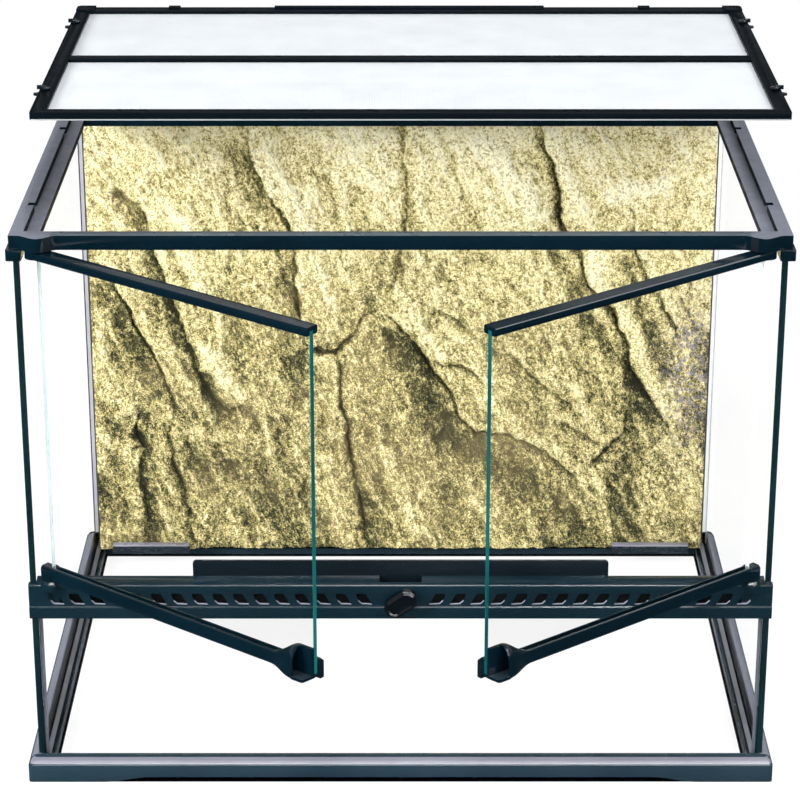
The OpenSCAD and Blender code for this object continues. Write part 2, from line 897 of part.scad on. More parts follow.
// One section of the pull as [y, z] points, from the bottom over the front to the top
function pull_section(t, back, bottom, wall, n = 6) =
    let (front = pull_front(t) - wall, top = pull_top(t) - wall, knee = top * 0.49)
    concat(
        [[-back, bottom], [-front + 0.9, bottom], [-front, bottom + 0.9]],
        [for (i = [0:n])
            [-back - 0.4 - (front - back - 0.4) * cos(90 * i / n),
                knee + (top - knee) * sin(90 * i / n)]],
        [[-back, top]]
    );

// Solid drawn through the sections at the given shares of the pull's length
module pull_loft(steps, back, bottom, wall) {
    closed_l = pull_l - pull_open;
    rows = [
        for (t = steps)
            [for (p = pull_section(min(t, 1), back, bottom, wall))
                [door_l - pull_l + closed_l * t, p[0], door_low + p[1]]]
    ];
    n = len(rows) - 1;
    m = len(rows[0]);
    polyhedron(
        [for (r = rows) for (p = r) p],
        concat(
            [for (i = [0:n - 1], j = [0:m - 1])
                [i * m + j, i * m + (j + 1) % m, (i + 1) * m + (j + 1) % m]],
            [for (i = [0:n - 1], j = [0:m - 1])
                [i * m + j, (i + 1) * m + (j + 1) % m, (i + 1) * m + j]],
            [[for (j = [m - 1:-1:0]) j]],
            [[for (j = [0:m - 1]) n * m + j]]
        )
    );
}

// Flared body of the pull with its floor and back left standing at the free corner
module pull_body() {
    n = 12;
    x0 = door_l - pull_open - 1;
    rail = low_rail_d / 2;
    front = pull_front(1);
    pull_loft([for (i = [0:n]) i / n], door_t / 2, 0, 0);
    translate([0, 0, door_low])
        linear_extrude(pull_floor)
            polygon([
                [x0, -rail + 1], [x0, -front], [door_l - 3, -front],
                [door_l - 1.4, -front + 1], [door_l, -rail], [door_l, -rail + 1]
            ]);
    span([x0, -rail, door_low], [door_l, -door_t / 2, door_low + pull_h]);
}

// Hollow that a finger enters at the free corner
module pull_scoop() {
    n = 8;
    deep = 0.46; // share of the pull's length at which the hollow ends
    pull_loft(
        [for (i = [0:n]) deep + (1.01 - deep) * i / n],
        low_rail_d / 2, pull_floor, pull_wall
    );
}

module left_door_bottom_rail() {
    h = low_rail_d / 2;
    c = 0.8;
    color(NAVY)
        on_left_door()
            difference() {
                union() {
                    along_x(-knuckle_r + 2, door_l)
                        polygon([
                            [-h, door_low + c], [-h, door_low + low_rail_h - c],
                            [-h + c, door_low + low_rail_h], [h - c, door_low + low_rail_h],
                            [h, door_low + low_rail_h - c], [h, door_low + c],
                            [h - c, door_low], [-h + c, door_low]
                        ]);
                    translate([0, 0, door_low]) cylinder(r = knuckle_r, h = low_rail_h - 2);
                    pull_body();
                }
                // groove for the glass
                span(
                    [door_glass_x0, -door_t / 2, door_low + 3],
                    [door_l + eps, door_t / 2, door_low + pull_h + eps]
                );
                pull_scoop();
                translate([0, 0, door_low - eps]) cylinder(r = pin_r, h = low_rail_h);
            }
}

// Hook clipped behind the glass at the free corner
module left_door_catch() {
    y0 = low_rail_d / 2;
    y1 = ledge_back_y - hinge_y - 0.6;
    w = 9;
    rail_top = door_low + low_rail_h + 0.1;
    color(BLACK)
        on_left_door()
            translate([door_l, 0, 0])
                rotate([90, 0, -90])
                    linear_extrude(w)
                        polygon([
                            [-y0, door_low], [-y0, rail_top],
                            [-door_t / 2, rail_top], [-door_t / 2, rail_top + 3],
                            [-y0 - 1, rail_top + 3],
                            [-y1, door_low + low_rail_h - 1], [-y1, toe_z],
                            [-y1 + 4.4, toe_z], [-y1 + 4.4, door_low]
                        ]);
}

// Upper and lower steel pins of a door
module left_door_pins() {
    color("#9aa0a5")
        on_left_door() {
            translate([0, 0, door_top - top_rail_h + 1])
                cylinder(r = pin_r, h = top_rail_h + pin_seat - 0.5);
            translate([0, 0, vent_top - low_pin_l])
                cylinder(r = pin_r, h = low_pin_l + door_low - vent_top + low_rail_h - eps);
        }
}

module right_door_glass() { color(GLASS) right_of() left_door_glass(); }
module right_door_top_rail() { color(NAVY) right_of() left_door_top_rail(); }
module right_door_bottom_rail() { color(NAVY) right_of() left_door_bottom_rail(); }
module right_door_catch() { color(BLACK) right_of() left_door_catch(); }
module right_door_pins() { color("#9aa0a5") right_of() left_door_pins(); }

// ---------------------------------------------------------------- lock

module on_lock(angle) {
    translate([0, 0, lock_z])
        rotate([0, -angle, 0]) children();
}

module lock_knob() {
    y0 = beam_front - slide_gap;
    r = knob_w / 2;
    half = knob_l / 2 - r;
    color(BLACK)
        on_lock(knob_angle)
            difference() {
                union() {
                    translate([0, y0, 0])
                        rotate([90, 0, 0]) {
                            linear_extrude(knob_out - 2) {
                                square([2 * half, 2 * r], center = true);
                                for (s = [-1, 1]) translate([s * half, 0]) circle(r);
                            }
                            translate([0, 0, knob_out - 2])
                                linear_extrude(2) {
                                    square([2 * half, 2 * r - 3], center = true);
                                    for (s = [-1, 1]) translate([s * half, 0]) circle(r - 1.5);
                                }
                        }
                    translate([0, y0, 0])
                        rotate([-90, 0, 0])
                            cylinder(r = spindle_r, h = cam_y + cam_t - y0 + 0.8);
                }
                // dished grip face
                translate([0, y0 - knob_out + 1.4, 0])
                    rotate([90, 0, 0])
                        linear_extrude(3) {
                            square([2 * half, 2 * r - 6.5], center = true);
                            for (s = [-1, 1]) translate([s * half, 0]) circle(r - 3.25);
                        }
            }
}

// Cam behind the beam's face; its flat lobe points sideways when unlocked
module lock_cam() {
    reach = cam_top - lock_z;
    half = 6.4;
    color("#3a4046")
        on_lock(0)
            translate([0, cam_y + cam_t, 0])
                rotate([90, 0, 0])
                    difference() {
                        union() {
                            linear_extrude(cam_t) {
                                translate([0, -half]) square([reach, 2 * half]);
                                circle(half);
                            }
                            cylinder(r = half, h = cam_t + 2.2);
                        }
                        translate([0, 0, -eps]) cylinder(r = spindle_r + play, h = cam_t + 4);
                    }
}

// ---------------------------------------------------------------- lid

// Places a part drawn for the seated lid
module on_lid() {
    translate([lid_shift, 0, lid_raise]) children();
}

module lid_ring(inset, x1, y0, y1) {
    difference() {
        arc_rect(-lid_x + inset, lid_front + inset, lid_x - inset, lid_back - inset, 4 - inset);
        translate([-x1, y0]) square([2 * x1, y1 - y0]);
    }
}

module lid_frame() {
    in_x = lid_x - lid_side_w;
    in_front = lid_front + lid_front_w;
    in_back = lid_back - lid_rear_w;
    plate_z = lid_seat_z + lid_h - plate_t;
    wall_x = in_x + mesh_lap;
    top = lid_seat_z + lid_h;
    pad_up = 1.5;
    pad_y = lid_back - 7;
    pad_half = 117;
    bump_x = 204;
    bump_half = 5;
    corner_w = 16;
    window_half = 12;
    color(NAVY)
    on_lid()
    difference() {
        union() {
            translate([0, 0, plate_z])
                linear_extrude(plate_t) lid_ring(0, in_x, in_front, in_back);
            // outer and inner walls under the top plate
            translate([0, 0, lid_seat_z])
                linear_extrude(lid_h) {
                    lid_ring(
                        0, lid_x - lid_wall, lid_front + lid_wall, lid_back - lid_wall
                    );
                    difference() {
                        translate([-wall_x - lid_wall, in_front - mesh_lap - lid_wall])
                            square([
                                2 * (wall_x + lid_wall),
                                in_back - in_front + 2 * (mesh_lap + lid_wall)
                            ]);
                        translate([-wall_x, in_front - mesh_lap])
                            square([2 * wall_x, in_back - in_front + 2 * mesh_lap]);
                    }
                }
            // raised pad, bumps and corners along the rear edge
            span([-pad_half, pad_y, top - eps], [pad_half, lid_back, top + pad_up]);
            for (s = [-1, 1])
                span(
                    [s * bump_x - bump_half, pad_y, top - eps],
                    [s * bump_x + bump_half, lid_back, top + pad_up]
                );
            translate([0, 0, top - eps])
                linear_extrude(pad_up + eps)
                    intersection() {
                        lid_ring(0, in_x, in_front, in_back);
                        for (s = [-1, 1])
                            translate([s * lid_x, lid_back])
                                square(2 * corner_w, center = true);
                    }
        }
        for (s = [-1, 1], y = [lid_front + latch_front, lid_back - latch_rear]) {
            translate([s * latch_x, y, lid_seat_z])
                cylinder(r = latch_r + play, h = lid_h + eps);
            // window in the outer wall for the tab
            span(
                [s * (lid_x - lid_wall / 2) - lid_wall, y - window_half, lid_seat_z - eps],
                [s * (lid_x - lid_wall / 2) + lid_wall, y + window_half, plate_z]
            );
        }
    }
}

module lid_crossbar() {
    x = lid_x - lid_side_w + mesh_lap;
    z1 = lid_seat_z + lid_h;
    h = lid_bar_w / 2;
    color(NAVY)
        on_lid() {
            span([-lid_x + lid_side_w, bar_y - h, z1 - plate_t], [lid_x - lid_side_w, bar_y + h, z1]);
            span([-x, bar_y - 1.2, lid_seat_z], [x, bar_y + 1.2, z1 - plate_t]);
        }
}

// One mesh panel between two [y] limits
module mesh(y0, y1) {
    x = lid_x - lid_side_w + mesh_lap;
    z1 = lid_seat_z + lid_h - plate_t;
    on_lid() span([-x, y0, z1 - mesh_t], [x, y1, z1]);
}

module lid_front_mesh() {
    color("#c9ced1") mesh(lid_front + lid_front_w - mesh_lap, bar_y - 1.2);
}

module lid_rear_mesh() {
    color("#c9ced1") mesh(bar_y + 1.2, lid_back - lid_rear_w + mesh_lap);
}

// Turn latch: knob above the rail, stem through it, tab below pointing outwards
module latch(s, y) {
    top = lid_seat_z + lid_h;
    z0 = latch_z;
    color(BLACK)
        on_lid()
            translate([s * latch_x, y, 0]) {
                translate([0, 0, z0]) cylinder(r = latch_r, h = top + slide_gap + 1 - z0);
                translate([0, 0, top + slide_gap])
                    cylinder(r = 3.6, h = 2);
                span(
                    [s > 0 ? 0 : -6.6, -1, top + slide_gap],
                    [s > 0 ? 6.6 : 0, 1, top + slide_gap + 3.2]
                );
                translate([0, 0, z0])
                    linear_extrude(tab_t) {
                        circle(tab_w / 2);
                        polygon([
                            [0, -tab_w / 2], [s * (lid_x - latch_x + latch_out - 2.5), -tab_w / 2],
                            [s * (lid_x - latch_x + latch_out), -0.8],
                            [s * (lid_x - latch_x + latch_out), 0.8],
                            [s * (lid_x - latch_x + latch_out - 2.5), tab_w / 2],
                            [0, tab_w / 2]
                        ]);
                    }
            }
}

module left_front_latch() { color(BLACK) latch(-1, lid_front + latch_front); }
module left_rear_latch() { color(BLACK) latch(-1, lid_back - latch_rear); }
module right_front_latch() { color(BLACK) latch(1, lid_front + latch_front); }
module right_rear_latch() { color(BLACK) latch(1, lid_back - latch_rear); }

base_frame();
floor_glass();
left_side_glass();
right_side_glass();
back_glass();
lower_front_glass();
silicone_seams();
top_frame();
rear_inlet_strip();
left_corner_clip();
right_corner_clip();
vent_beam();
vent_screens();
door_stop();
background_panel();
left_background_clip();
right_background_clip();
left_door_glass();
left_door_top_rail();
left_door_bottom_rail();
left_door_catch();
left_door_pins();
right_door_glass();
right_door_top_rail();
right_door_bottom_rail();
right_door_catch();
right_door_pins();
lock_knob();
lock_cam();
lid_frame();
lid_crossbar();
lid_front_mesh();
lid_rear_mesh();
left_front_latch();
left_rear_latch();
right_front_latch();
right_rear_latch();
left_inner_gate();
left_middle_gate();
left_outer_gate();
right_inner_gate();
right_middle_gate();
right_outer_gate();
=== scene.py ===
import json
import math

import bmesh
import bpy
import numpy as np
from mathutils import Matrix, Vector


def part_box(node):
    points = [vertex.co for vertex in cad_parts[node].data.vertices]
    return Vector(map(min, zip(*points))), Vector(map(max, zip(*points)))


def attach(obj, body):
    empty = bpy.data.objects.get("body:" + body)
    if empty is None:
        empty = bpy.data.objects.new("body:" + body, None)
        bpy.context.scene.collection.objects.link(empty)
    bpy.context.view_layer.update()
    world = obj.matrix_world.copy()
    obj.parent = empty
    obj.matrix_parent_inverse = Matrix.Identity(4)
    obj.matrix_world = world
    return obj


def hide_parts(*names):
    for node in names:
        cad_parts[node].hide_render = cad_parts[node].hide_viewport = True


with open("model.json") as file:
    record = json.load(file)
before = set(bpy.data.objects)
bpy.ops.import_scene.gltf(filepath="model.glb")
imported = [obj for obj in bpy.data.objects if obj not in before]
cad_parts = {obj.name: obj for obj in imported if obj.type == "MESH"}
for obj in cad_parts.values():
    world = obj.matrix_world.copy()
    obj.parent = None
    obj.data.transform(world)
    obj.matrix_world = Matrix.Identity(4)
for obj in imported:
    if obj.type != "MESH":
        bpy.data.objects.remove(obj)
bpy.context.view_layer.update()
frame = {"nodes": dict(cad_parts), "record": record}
bodies = frame["record"]["behaviour"]["bodies"]
body_of = {n: b for b, ns in bodies.items() for n in ns}
slot_of = {s["node"]: s["material_slot"] for s in frame["record"]["subparts"]}
nodes = frame["nodes"]
scene = bpy.context.scene

MM = 0.001
SIDES = (("left", -1), ("right", 1))

# ------------------------------------------------------------ sizes that follow the CAD

# of the doors, in mm and degrees; the pane is that of a closed left door, from its hinge axis
HINGE_X, HINGE_Y = 281.0, -222.5
DOOR_OPEN = 38.5
DOOR_PANE = ((4.0, -2.0, 182.8), (278.5, 2.0, 454.3))
HINGE_EDGE_X = 6.0

# the rest is in metres and parts the faces of one node between two materials
SEAM_X, SEAM_Y = 0.2975, 0.2225      # rear edges of the side panes that lie in silicone
SUNK_EDGE_Z = 0.0095                 # lower edges of the side panes, in the base
FLOOR_EDGE_X = 0.28                  # side edges of the floor glass
SIDE_RAIL_Y = 0.222                  # the side rails of the base lie within
BASE_BAND_X = 0.2965                 # band along the side rails, inner wall and round top
BASE_WALL_Z, BASE_TOP_Z = 0.008, 0.0145
BASE_LEDGE_X, BASE_LEDGE_Z = 0.2855, 0.0085
COVE_Y = -0.2245                     # round top of the front rail of the base
TOP_RAIL_X = 0.268                   # the side rails of the top frame lie outside
TOP_FACE_Z = (0.468, 0.48)
LID_LEDGE_Z = (0.45, 0.468)
SLOT_SILL_Z = (0.1565, 0.1605)
PULL_FLOOR_Z = 0.1826
LIP_H = 0.001                        # pale lip under the lid's front: a painted highlight on its lower edge
STEEP = 0.6                          # normal of an upright face
SHADE_OUT, SHADE_IN = (0.3055, 0.2325), (0.285, 0.212)   # floor in the shadow of the base's rim


# ------------------------------------------------------------ mesh helpers


def make_object(name, verts, faces, mats, face_mats=None, smooth=False):
    """A new object from vertices in mm."""
    me = bpy.data.meshes.new(name)
    me.from_pydata([tuple(c * MM for c in v) for v in verts], [], faces)
    for m in mats:
        me.materials.append(m)
    if face_mats is not None:
        me.polygons.foreach_set("material_index", face_mats)
    me.validate()
    o = bpy.data.objects.new(name, me)
    scene.collection.objects.link(o)
    if smooth:
        me.polygons.foreach_set("use_smooth", [True] * len(me.polygons))
    me.update()
    return o


def stands_for(o, node):
    """The object takes the place of a CAD node, on its body."""
    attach(o, body_of[node])
    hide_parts(node)
    return o


def apply_modifiers(o):
    bpy.context.view_layer.update()
    dg = bpy.context.evaluated_depsgraph_get()
    me = bpy.data.meshes.new_from_object(o.evaluated_get(dg))
    old = o.data
    o.modifiers.clear()
    o.data = me
    bpy.data.meshes.remove(old)


def bevel(o, width, segments, material):
    m = o.modifiers.new("bevel", "BEVEL")
    m.material = material
    m.width = width * MM
    m.segments = segments
    m.limit_method = "ANGLE"
    m.angle_limit = math.radians(28.0)
    m.harden_normals = True
    m.use_clamp_overlap = True
    m.miter_outer = "MITER_SHARP"
    apply_modifiers(o)


def softened(node, mat, width=0.4, segments=2, cuts=(), edge=None):
    """A copy of a CAD node with its sharp edges rounded, which replaces the node; width is in mm,
    cuts are planes (place, normal) that part its flat faces for a second material, and edge is
    the material of the rounded edges that face up, a painted highlight on them."""
    mats = [M[m] for m in (mat, edge) if m]
    me = bpy.data.meshes.new(node + "_look")
    bm = bmesh.new()
    bm.from_mesh(nodes[node].data)
    bmesh.ops.remove_doubles(bm, verts=bm.verts, dist=2e-6)
    bmesh.ops.dissolve_limit(
        bm, angle_limit=math.radians(0.8), verts=bm.verts, edges=bm.edges
    )
    for place, normal in cuts:
        geom = bm.verts[:] + bm.edges[:] + bm.faces[:]
        bmesh.ops.bisect_plane(bm, geom=geom, dist=1e-6, plane_co=place, plane_no=normal)
    bm.to_mesh(me)
    bm.free()
    me.polygons.foreach_set("use_smooth", [True] * len(me.polygons))
    o = bpy.data.objects.new(node + "_look", me)
    scene.collection.objects.link(o)
    set_materials(me, mats)
    bevel(o, width, segments, 1 if edge else -1)
    # clearing the materials also clears the faces' indices, so they are kept first
    rounded = [bool(edge) and f.material_index == 1 and f.normal.z > 0.15 for f in o.data.polygons]
    set_materials(o.data, mats)
    o.data.polygons.foreach_set("material_index", [int(r) for r in rounded])
    return stands_for(o, node)


def set_materials(me, mats):
    me.materials.clear()
    for m in mats:
        me.materials.append(m)


def second_material(o, mat, wanted):
    """Gives the faces that pass the test another material."""
    o.data.materials.append(M[mat])
    k = len(o.data.materials) - 1
    for f in o.data.polygons:
        if wanted(f):
            f.material_index = k


# ------------------------------------------------------------ materials

# the bedding of the rock leans this far from the vertical, in degrees
BEDDING = 21.7


class Nodes:
    """Short calls for building the node tree of a material or of the world."""

    def __init__(self, name, kind="Material"):
        store = bpy.data.materials if kind == "Material" else bpy.data.worlds
        self.owner = store.new(name)
        self.owner.use_nodes = True
        self.tree = self.owner.node_tree
        self.tree.nodes.clear()
        self.out = self.add("ShaderNodeOutput" + kind)
        self.coord = self.add("ShaderNodeTexCoord")

    def add(self, kind, **settings):
        n = self.tree.nodes.new(kind)
        for k, v in settings.items():
            setattr(n, k, v)
        return n

    def link(self, a, b):
        self.tree.links.new(a, b)

    def axes(self, coord="Object"):
        """The three coordinates by name."""
        n = self.add("ShaderNodeSeparateXYZ")
        self.link(self.coord.outputs[coord], n.inputs[0])
        return n.outputs

    def mapping(self, source, field, value):
        m = self.add("ShaderNodeMapping")
        m.inputs[field].default_value = value
        self.link(source, m.inputs["Vector"])
        return m.outputs[0]

    def stretched(self, along):
        return self.mapping(self.coord.outputs["Object"], "Scale", (1.0, 1.0, along))

    def bedded(self, along):
        """Object coordinates turned to the bedding of the rock and stretched along it."""
        turned = self.mapping(
            self.coord.outputs["Object"], "Rotation", (0.0, math.radians(BEDDING), 0.0)
        )
        return self.mapping(turned, "Scale", (1.0, 1.0, along))

    def noise(self, scale, detail=4.0, rough=0.55, vector=None):
        n = self.add("ShaderNodeTexNoise")
        n.inputs["Scale"].default_value = scale
        n.inputs["Detail"].default_value = detail
        n.inputs["Roughness"].default_value = rough
        self.link(vector or self.coord.outputs["Object"], n.inputs["Vector"])
        return n.outputs["Fac"]

    def ramp(self, fac, stops):
        r = self.add("ShaderNodeValToRGB")
        els = r.color_ramp.elements
        while len(els) < len(stops):
            els.new(0.5)
        for e, (p, c) in zip(els, stops):
            e.position = p
            e.color = (*c, 1.0)
        self.link(fac, r.inputs["Fac"])
        return r.outputs["Color"]

    def grey(self, fac, a, b, lo=0.0, hi=1.0):
        """Takes the range a to b to the range lo to hi, held at its ends."""
        n = self.add("ShaderNodeMapRange")
        n.inputs["From Min"].default_value = a
        n.inputs["From Max"].default_value = b
        n.inputs["To Min"].default_value = lo
        n.inputs["To Max"].default_value = hi
        self.link(fac, n.inputs["Value"])
        return n.outputs["Result"]

    def math(self, op, a, b=0.0):
        n = self.add("ShaderNodeMath", operation=op)
        for i, v in enumerate((a, b)):
            if isinstance(v, (int, float)):
                n.inputs[i].default_value = v
            else:
                self.link(v, n.inputs[i])
        return n.outputs[0]

    def mix(self, fac, a, b, mode="MIX"):
        n = self.add("ShaderNodeMix", data_type="RGBA", blend_type=mode)
        for key, v in ((0, fac), (6, a), (7, b)):
            if isinstance(v, tuple):
                n.inputs[key].default_value = (*v, 1.0)
            else:
                self.link(v, n.inputs[key])
        return n.outputs[2]

    def bump(self, height, strength, distance, normal=None):
        b = self.add("ShaderNodeBump")
        b.inputs["Strength"].default_value = strength
        b.inputs["Distance"].default_value = distance
        self.link(height, b.inputs["Height"])
        if normal is not None:
            self.link(normal, b.inputs["Normal"])
        return b.outputs[0]

    def principled(self, **values):
        p = self.add("ShaderNodeBsdfPrincipled")
        for k, v in values.items():
            p.inputs[k.replace("_", " ")].default_value = v
        return p

    def plain(self, kind, color, strength=None):
        """A diffuse, emission or background shader of one colour."""
        s = self.add(kind)
        s.inputs["Color"].default_value = (*color, 1.0)
        if strength is not None:
            s.inputs["Strength"].default_value = strength
        return s.outputs[0]

    def shaders(self, share, first, second):
        """The second shader by its share, the first by the rest."""
        m = self.add("ShaderNodeMixShader")
        for i, source in enumerate((share, first, second)):
            self.link(source, m.inputs[i])
        return m.outputs[0]

    def finish(self, shader):
        self.link(shader, self.out.inputs["Surface"])
        return self.owner


def plastic(name, dark, light, rough, grain, grain_depth, dust=0.0, spec=0.5):
    """Moulded plastic: slow colour drift, a fine moulded grain, faint flow waviness and scuffs."""
    n = Nodes(name)
    drift = n.noise(9.0, 3.0)
    color = n.ramp(drift, [(0.3, dark), (0.75, light)])
    if dust:
        specks = n.grey(n.noise(1400.0, 2.0, 0.6), 0.66, 0.74, 0.0, dust)
        color = n.mix(specks, color, (0.30, 0.32, 0.33))
    scuff = n.noise(38.0, 6.0, 0.7, n.stretched(3.2))
    p = n.principled(IOR=1.5, Specular_IOR_Level=spec)
    n.link(color, p.inputs["Base Color"])
    n.link(n.grey(scuff, 0.35, 0.75, rough * 0.8, rough * 1.45), p.inputs["Roughness"])
    wave = n.bump(n.noise(26.0, 2.0), 0.12, 0.0012)
    fine = n.bump(n.noise(grain, 3.0, 0.6), grain_depth, 0.0003, wave)
    n.link(fine, p.inputs["Normal"])
    return n.finish(p.outputs[0])


def glass(name, gloss):
    """Clear float glass as thin panes: what is behind shows, with a Fresnel share of mirror."""
    n = Nodes(name)
    p = n.principled(Metallic=1.0, Roughness=0.0, Base_Color=(0.93, 1.0, 0.98, 1.0))
    slant = n.add("ShaderNodeLayerWeight").outputs["Facing"]
    fresnel = n.math("ADD", n.math("MULTIPLY", n.math("POWER", slant, 5.0), 0.96), 0.04)
    smear = n.noise(5.0, 4.0, 0.6)
    share = n.math("MULTIPLY", fresnel, n.grey(smear, 0.3, 0.7, gloss * 0.8, gloss * 1.15))
    path = n.add("ShaderNodeLightPath").outputs
    through = n.math("MAXIMUM", path["Is Shadow Ray"], path["Is Diffuse Ray"])
    share = n.math("MULTIPLY", share, n.math("SUBTRACT", 1.0, through))
    n.link(n.math("ADD", share, 0.002), p.inputs["Alpha"])
    return n.finish(p.outputs[0])


def glass_edge(name, dark, light):
    """Ground and polished edge of float glass in streaks of two colours: green-tinted, dark, or
    pale and lilac where light and sheen are painted on it.
    """
    n = Nodes(name)
    streak = n.noise(60.0, 4.0, 0.6, n.stretched(0.12))
    p = n.principled(Roughness=0.16, IOR=1.5)
    n.link(n.ramp(streak, [(0.3, dark), (0.7, light)]), p.inputs["Base Color"])
    return n.finish(p.outputs[0])


# paint of the rock from the pits to the crumbs
ROCK_STOPS = (
    (0.00, (0.026, 0.028, 0.013)), (0.22, (0.120, 0.116, 0.049)), (0.42, (0.375, 0.328, 0.134)),
    (0.60, (0.70, 0.60, 0.265)), (0.76, (0.92, 0.82, 0.43)), (1.00, (1.0, 0.95, 0.67)),
)


def rock_foam(name):
    """Painted foam rock: crumbly grain, cream on the crumbs and olive between them; darker where
    the surface sinks and along the cracks, partly the foam's own colouring and partly painted
    shade, and lighter towards the top by painted light.
    """
    n = Nodes(name)

    def attribute(key):
        return n.add("ShaderNodeAttribute", attribute_name=key).outputs["Fac"]

    grain = n.noise(330.0, 5.0, 0.76, n.bedded(0.7))
    fine = n.noise(700.0, 3.0, 0.75)
    blotch = n.noise(38.0, 6.0, 0.72, n.bedded(0.42))
    fold = n.noise(95.0, 5.0, 0.66, n.bedded(0.36))
    fold = n.math("ABSOLUTE", n.math("SUBTRACT", fold, 0.5))
    drift = n.noise(7.0, 3.0, 0.6)
    # darker where the grain, the fine grain, the folds and the blotches sink, as in the bumps
    # below: partly the foam's own colouring, partly painted shade
    level = n.grey(grain, 0.38, 0.62, -0.46, 0.50)
    level = n.math("ADD", level, n.grey(fine, 0.38, 0.62, -0.52, 0.58))
    level = n.math("ADD", level, n.grey(fold, 0.0, 0.05, -0.34, 0.10))
    level = n.math("ADD", level, n.grey(blotch, 0.32, 0.68, -0.13, 0.15))
    # darker by the painted shade and light carried from the relief, and darker in the hollows:
    # painted shade, partly the foam's own colouring
    level = n.math("SUBTRACT", level, n.math("MULTIPLY", attribute("wash_and_shade"), 0.50))
    level = n.math("SUBTRACT", level, n.grey(attribute("hollow"), -1.2, 1.6, -0.35, 0.48))
    color = n.ramp(n.grey(level, -1.30, 0.85), ROCK_STOPS)
    pits = n.grey(n.noise(360.0, 3.0, 0.7), 0.535, 0.585, 0.0, 0.80)
    pits = n.math("MULTIPLY", pits, n.grey(n.noise(30.0, 4.0, 0.7), 0.38, 0.54, 0.35, 1.0))
    color = n.mix(pits, color, (0.36, 0.30, 0.14), "MULTIPLY")
    warm = n.grey(drift, 0.48, 0.66, 0.0, 0.35)
    warm = n.math("MULTIPLY", warm, n.grey(level, 0.3, -0.7, 0.0, 1.0))
    color = n.mix(warm, color, (0.40, 0.31, 0.15))
    flecks = n.grey(n.noise(240.0, 4.0, 0.75), 0.50, 0.56, 0.0, 0.85)
    color = n.mix(n.math("MULTIPLY", attribute("purple"), flecks), color, (0.24, 0.22, 0.34))
    p = n.principled(Roughness=0.92, IOR=1.3)
    n.link(color, p.inputs["Base Color"])
    b = n.bump(blotch, 0.8, 0.010)
    b = n.bump(fold, 1.0, 0.0080, b)
    b = n.bump(grain, 1.0, 0.0034, b)
    b = n.bump(fine, 1.0, 0.0014, b)
    n.link(b, p.inputs["Normal"])
    return n.finish(p.outputs[0])


def woven_mesh(name, dark, light, metal):
    """Fine woven mesh: wires 0.65 mm thick, 1.25 mm apart, with air between them."""
    n = Nodes(name)
    place = n.axes()
    masks = []
    for axis in ("X", "Y"):
        cell = n.math("FRACT", n.math("MULTIPLY", place[axis], 1000.0 / 1.25))
        masks.append(n.math("LESS_THAN", cell, 0.52))
    on = n.math("MAXIMUM", *masks)
    p = n.principled(Metallic=metal, Roughness=0.42)
    n.link(n.ramp(n.noise(30.0, 3.0), [(0.3, dark), (0.7, light)]), p.inputs["Base Color"])
    clear = n.add("ShaderNodeBsdfTransparent")
    return n.finish(n.shaders(on, clear.outputs[0], p.outputs[0]))


def steel(name):
    n = Nodes(name)
    p = n.principled(Metallic=1.0)
    stops = [(0.3, (0.48, 0.49, 0.50)), (0.7, (0.62, 0.63, 0.64))]
    n.link(n.ramp(n.noise(80.0, 4.0), stops), p.inputs["Base Color"])
    n.link(n.grey(n.noise(300.0, 3.0), 0.3, 0.7, 0.22, 0.38), p.inputs["Roughness"])
    return n.finish(p.outputs[0])


def silicone(name):
    n = Nodes(name)
    p = n.principled(Roughness=0.42, IOR=1.42)
    stops = [(0.3, (0.085, 0.092, 0.115)), (0.7, (0.12, 0.127, 0.152))]
    n.link(n.ramp(n.noise(50.0, 4.0), stops), p.inputs["Base Color"])
    n.link(n.bump(n.noise(120.0, 3.0), 0.3, 0.0004), p.inputs["Normal"])
    return n.finish(p.outputs[0])


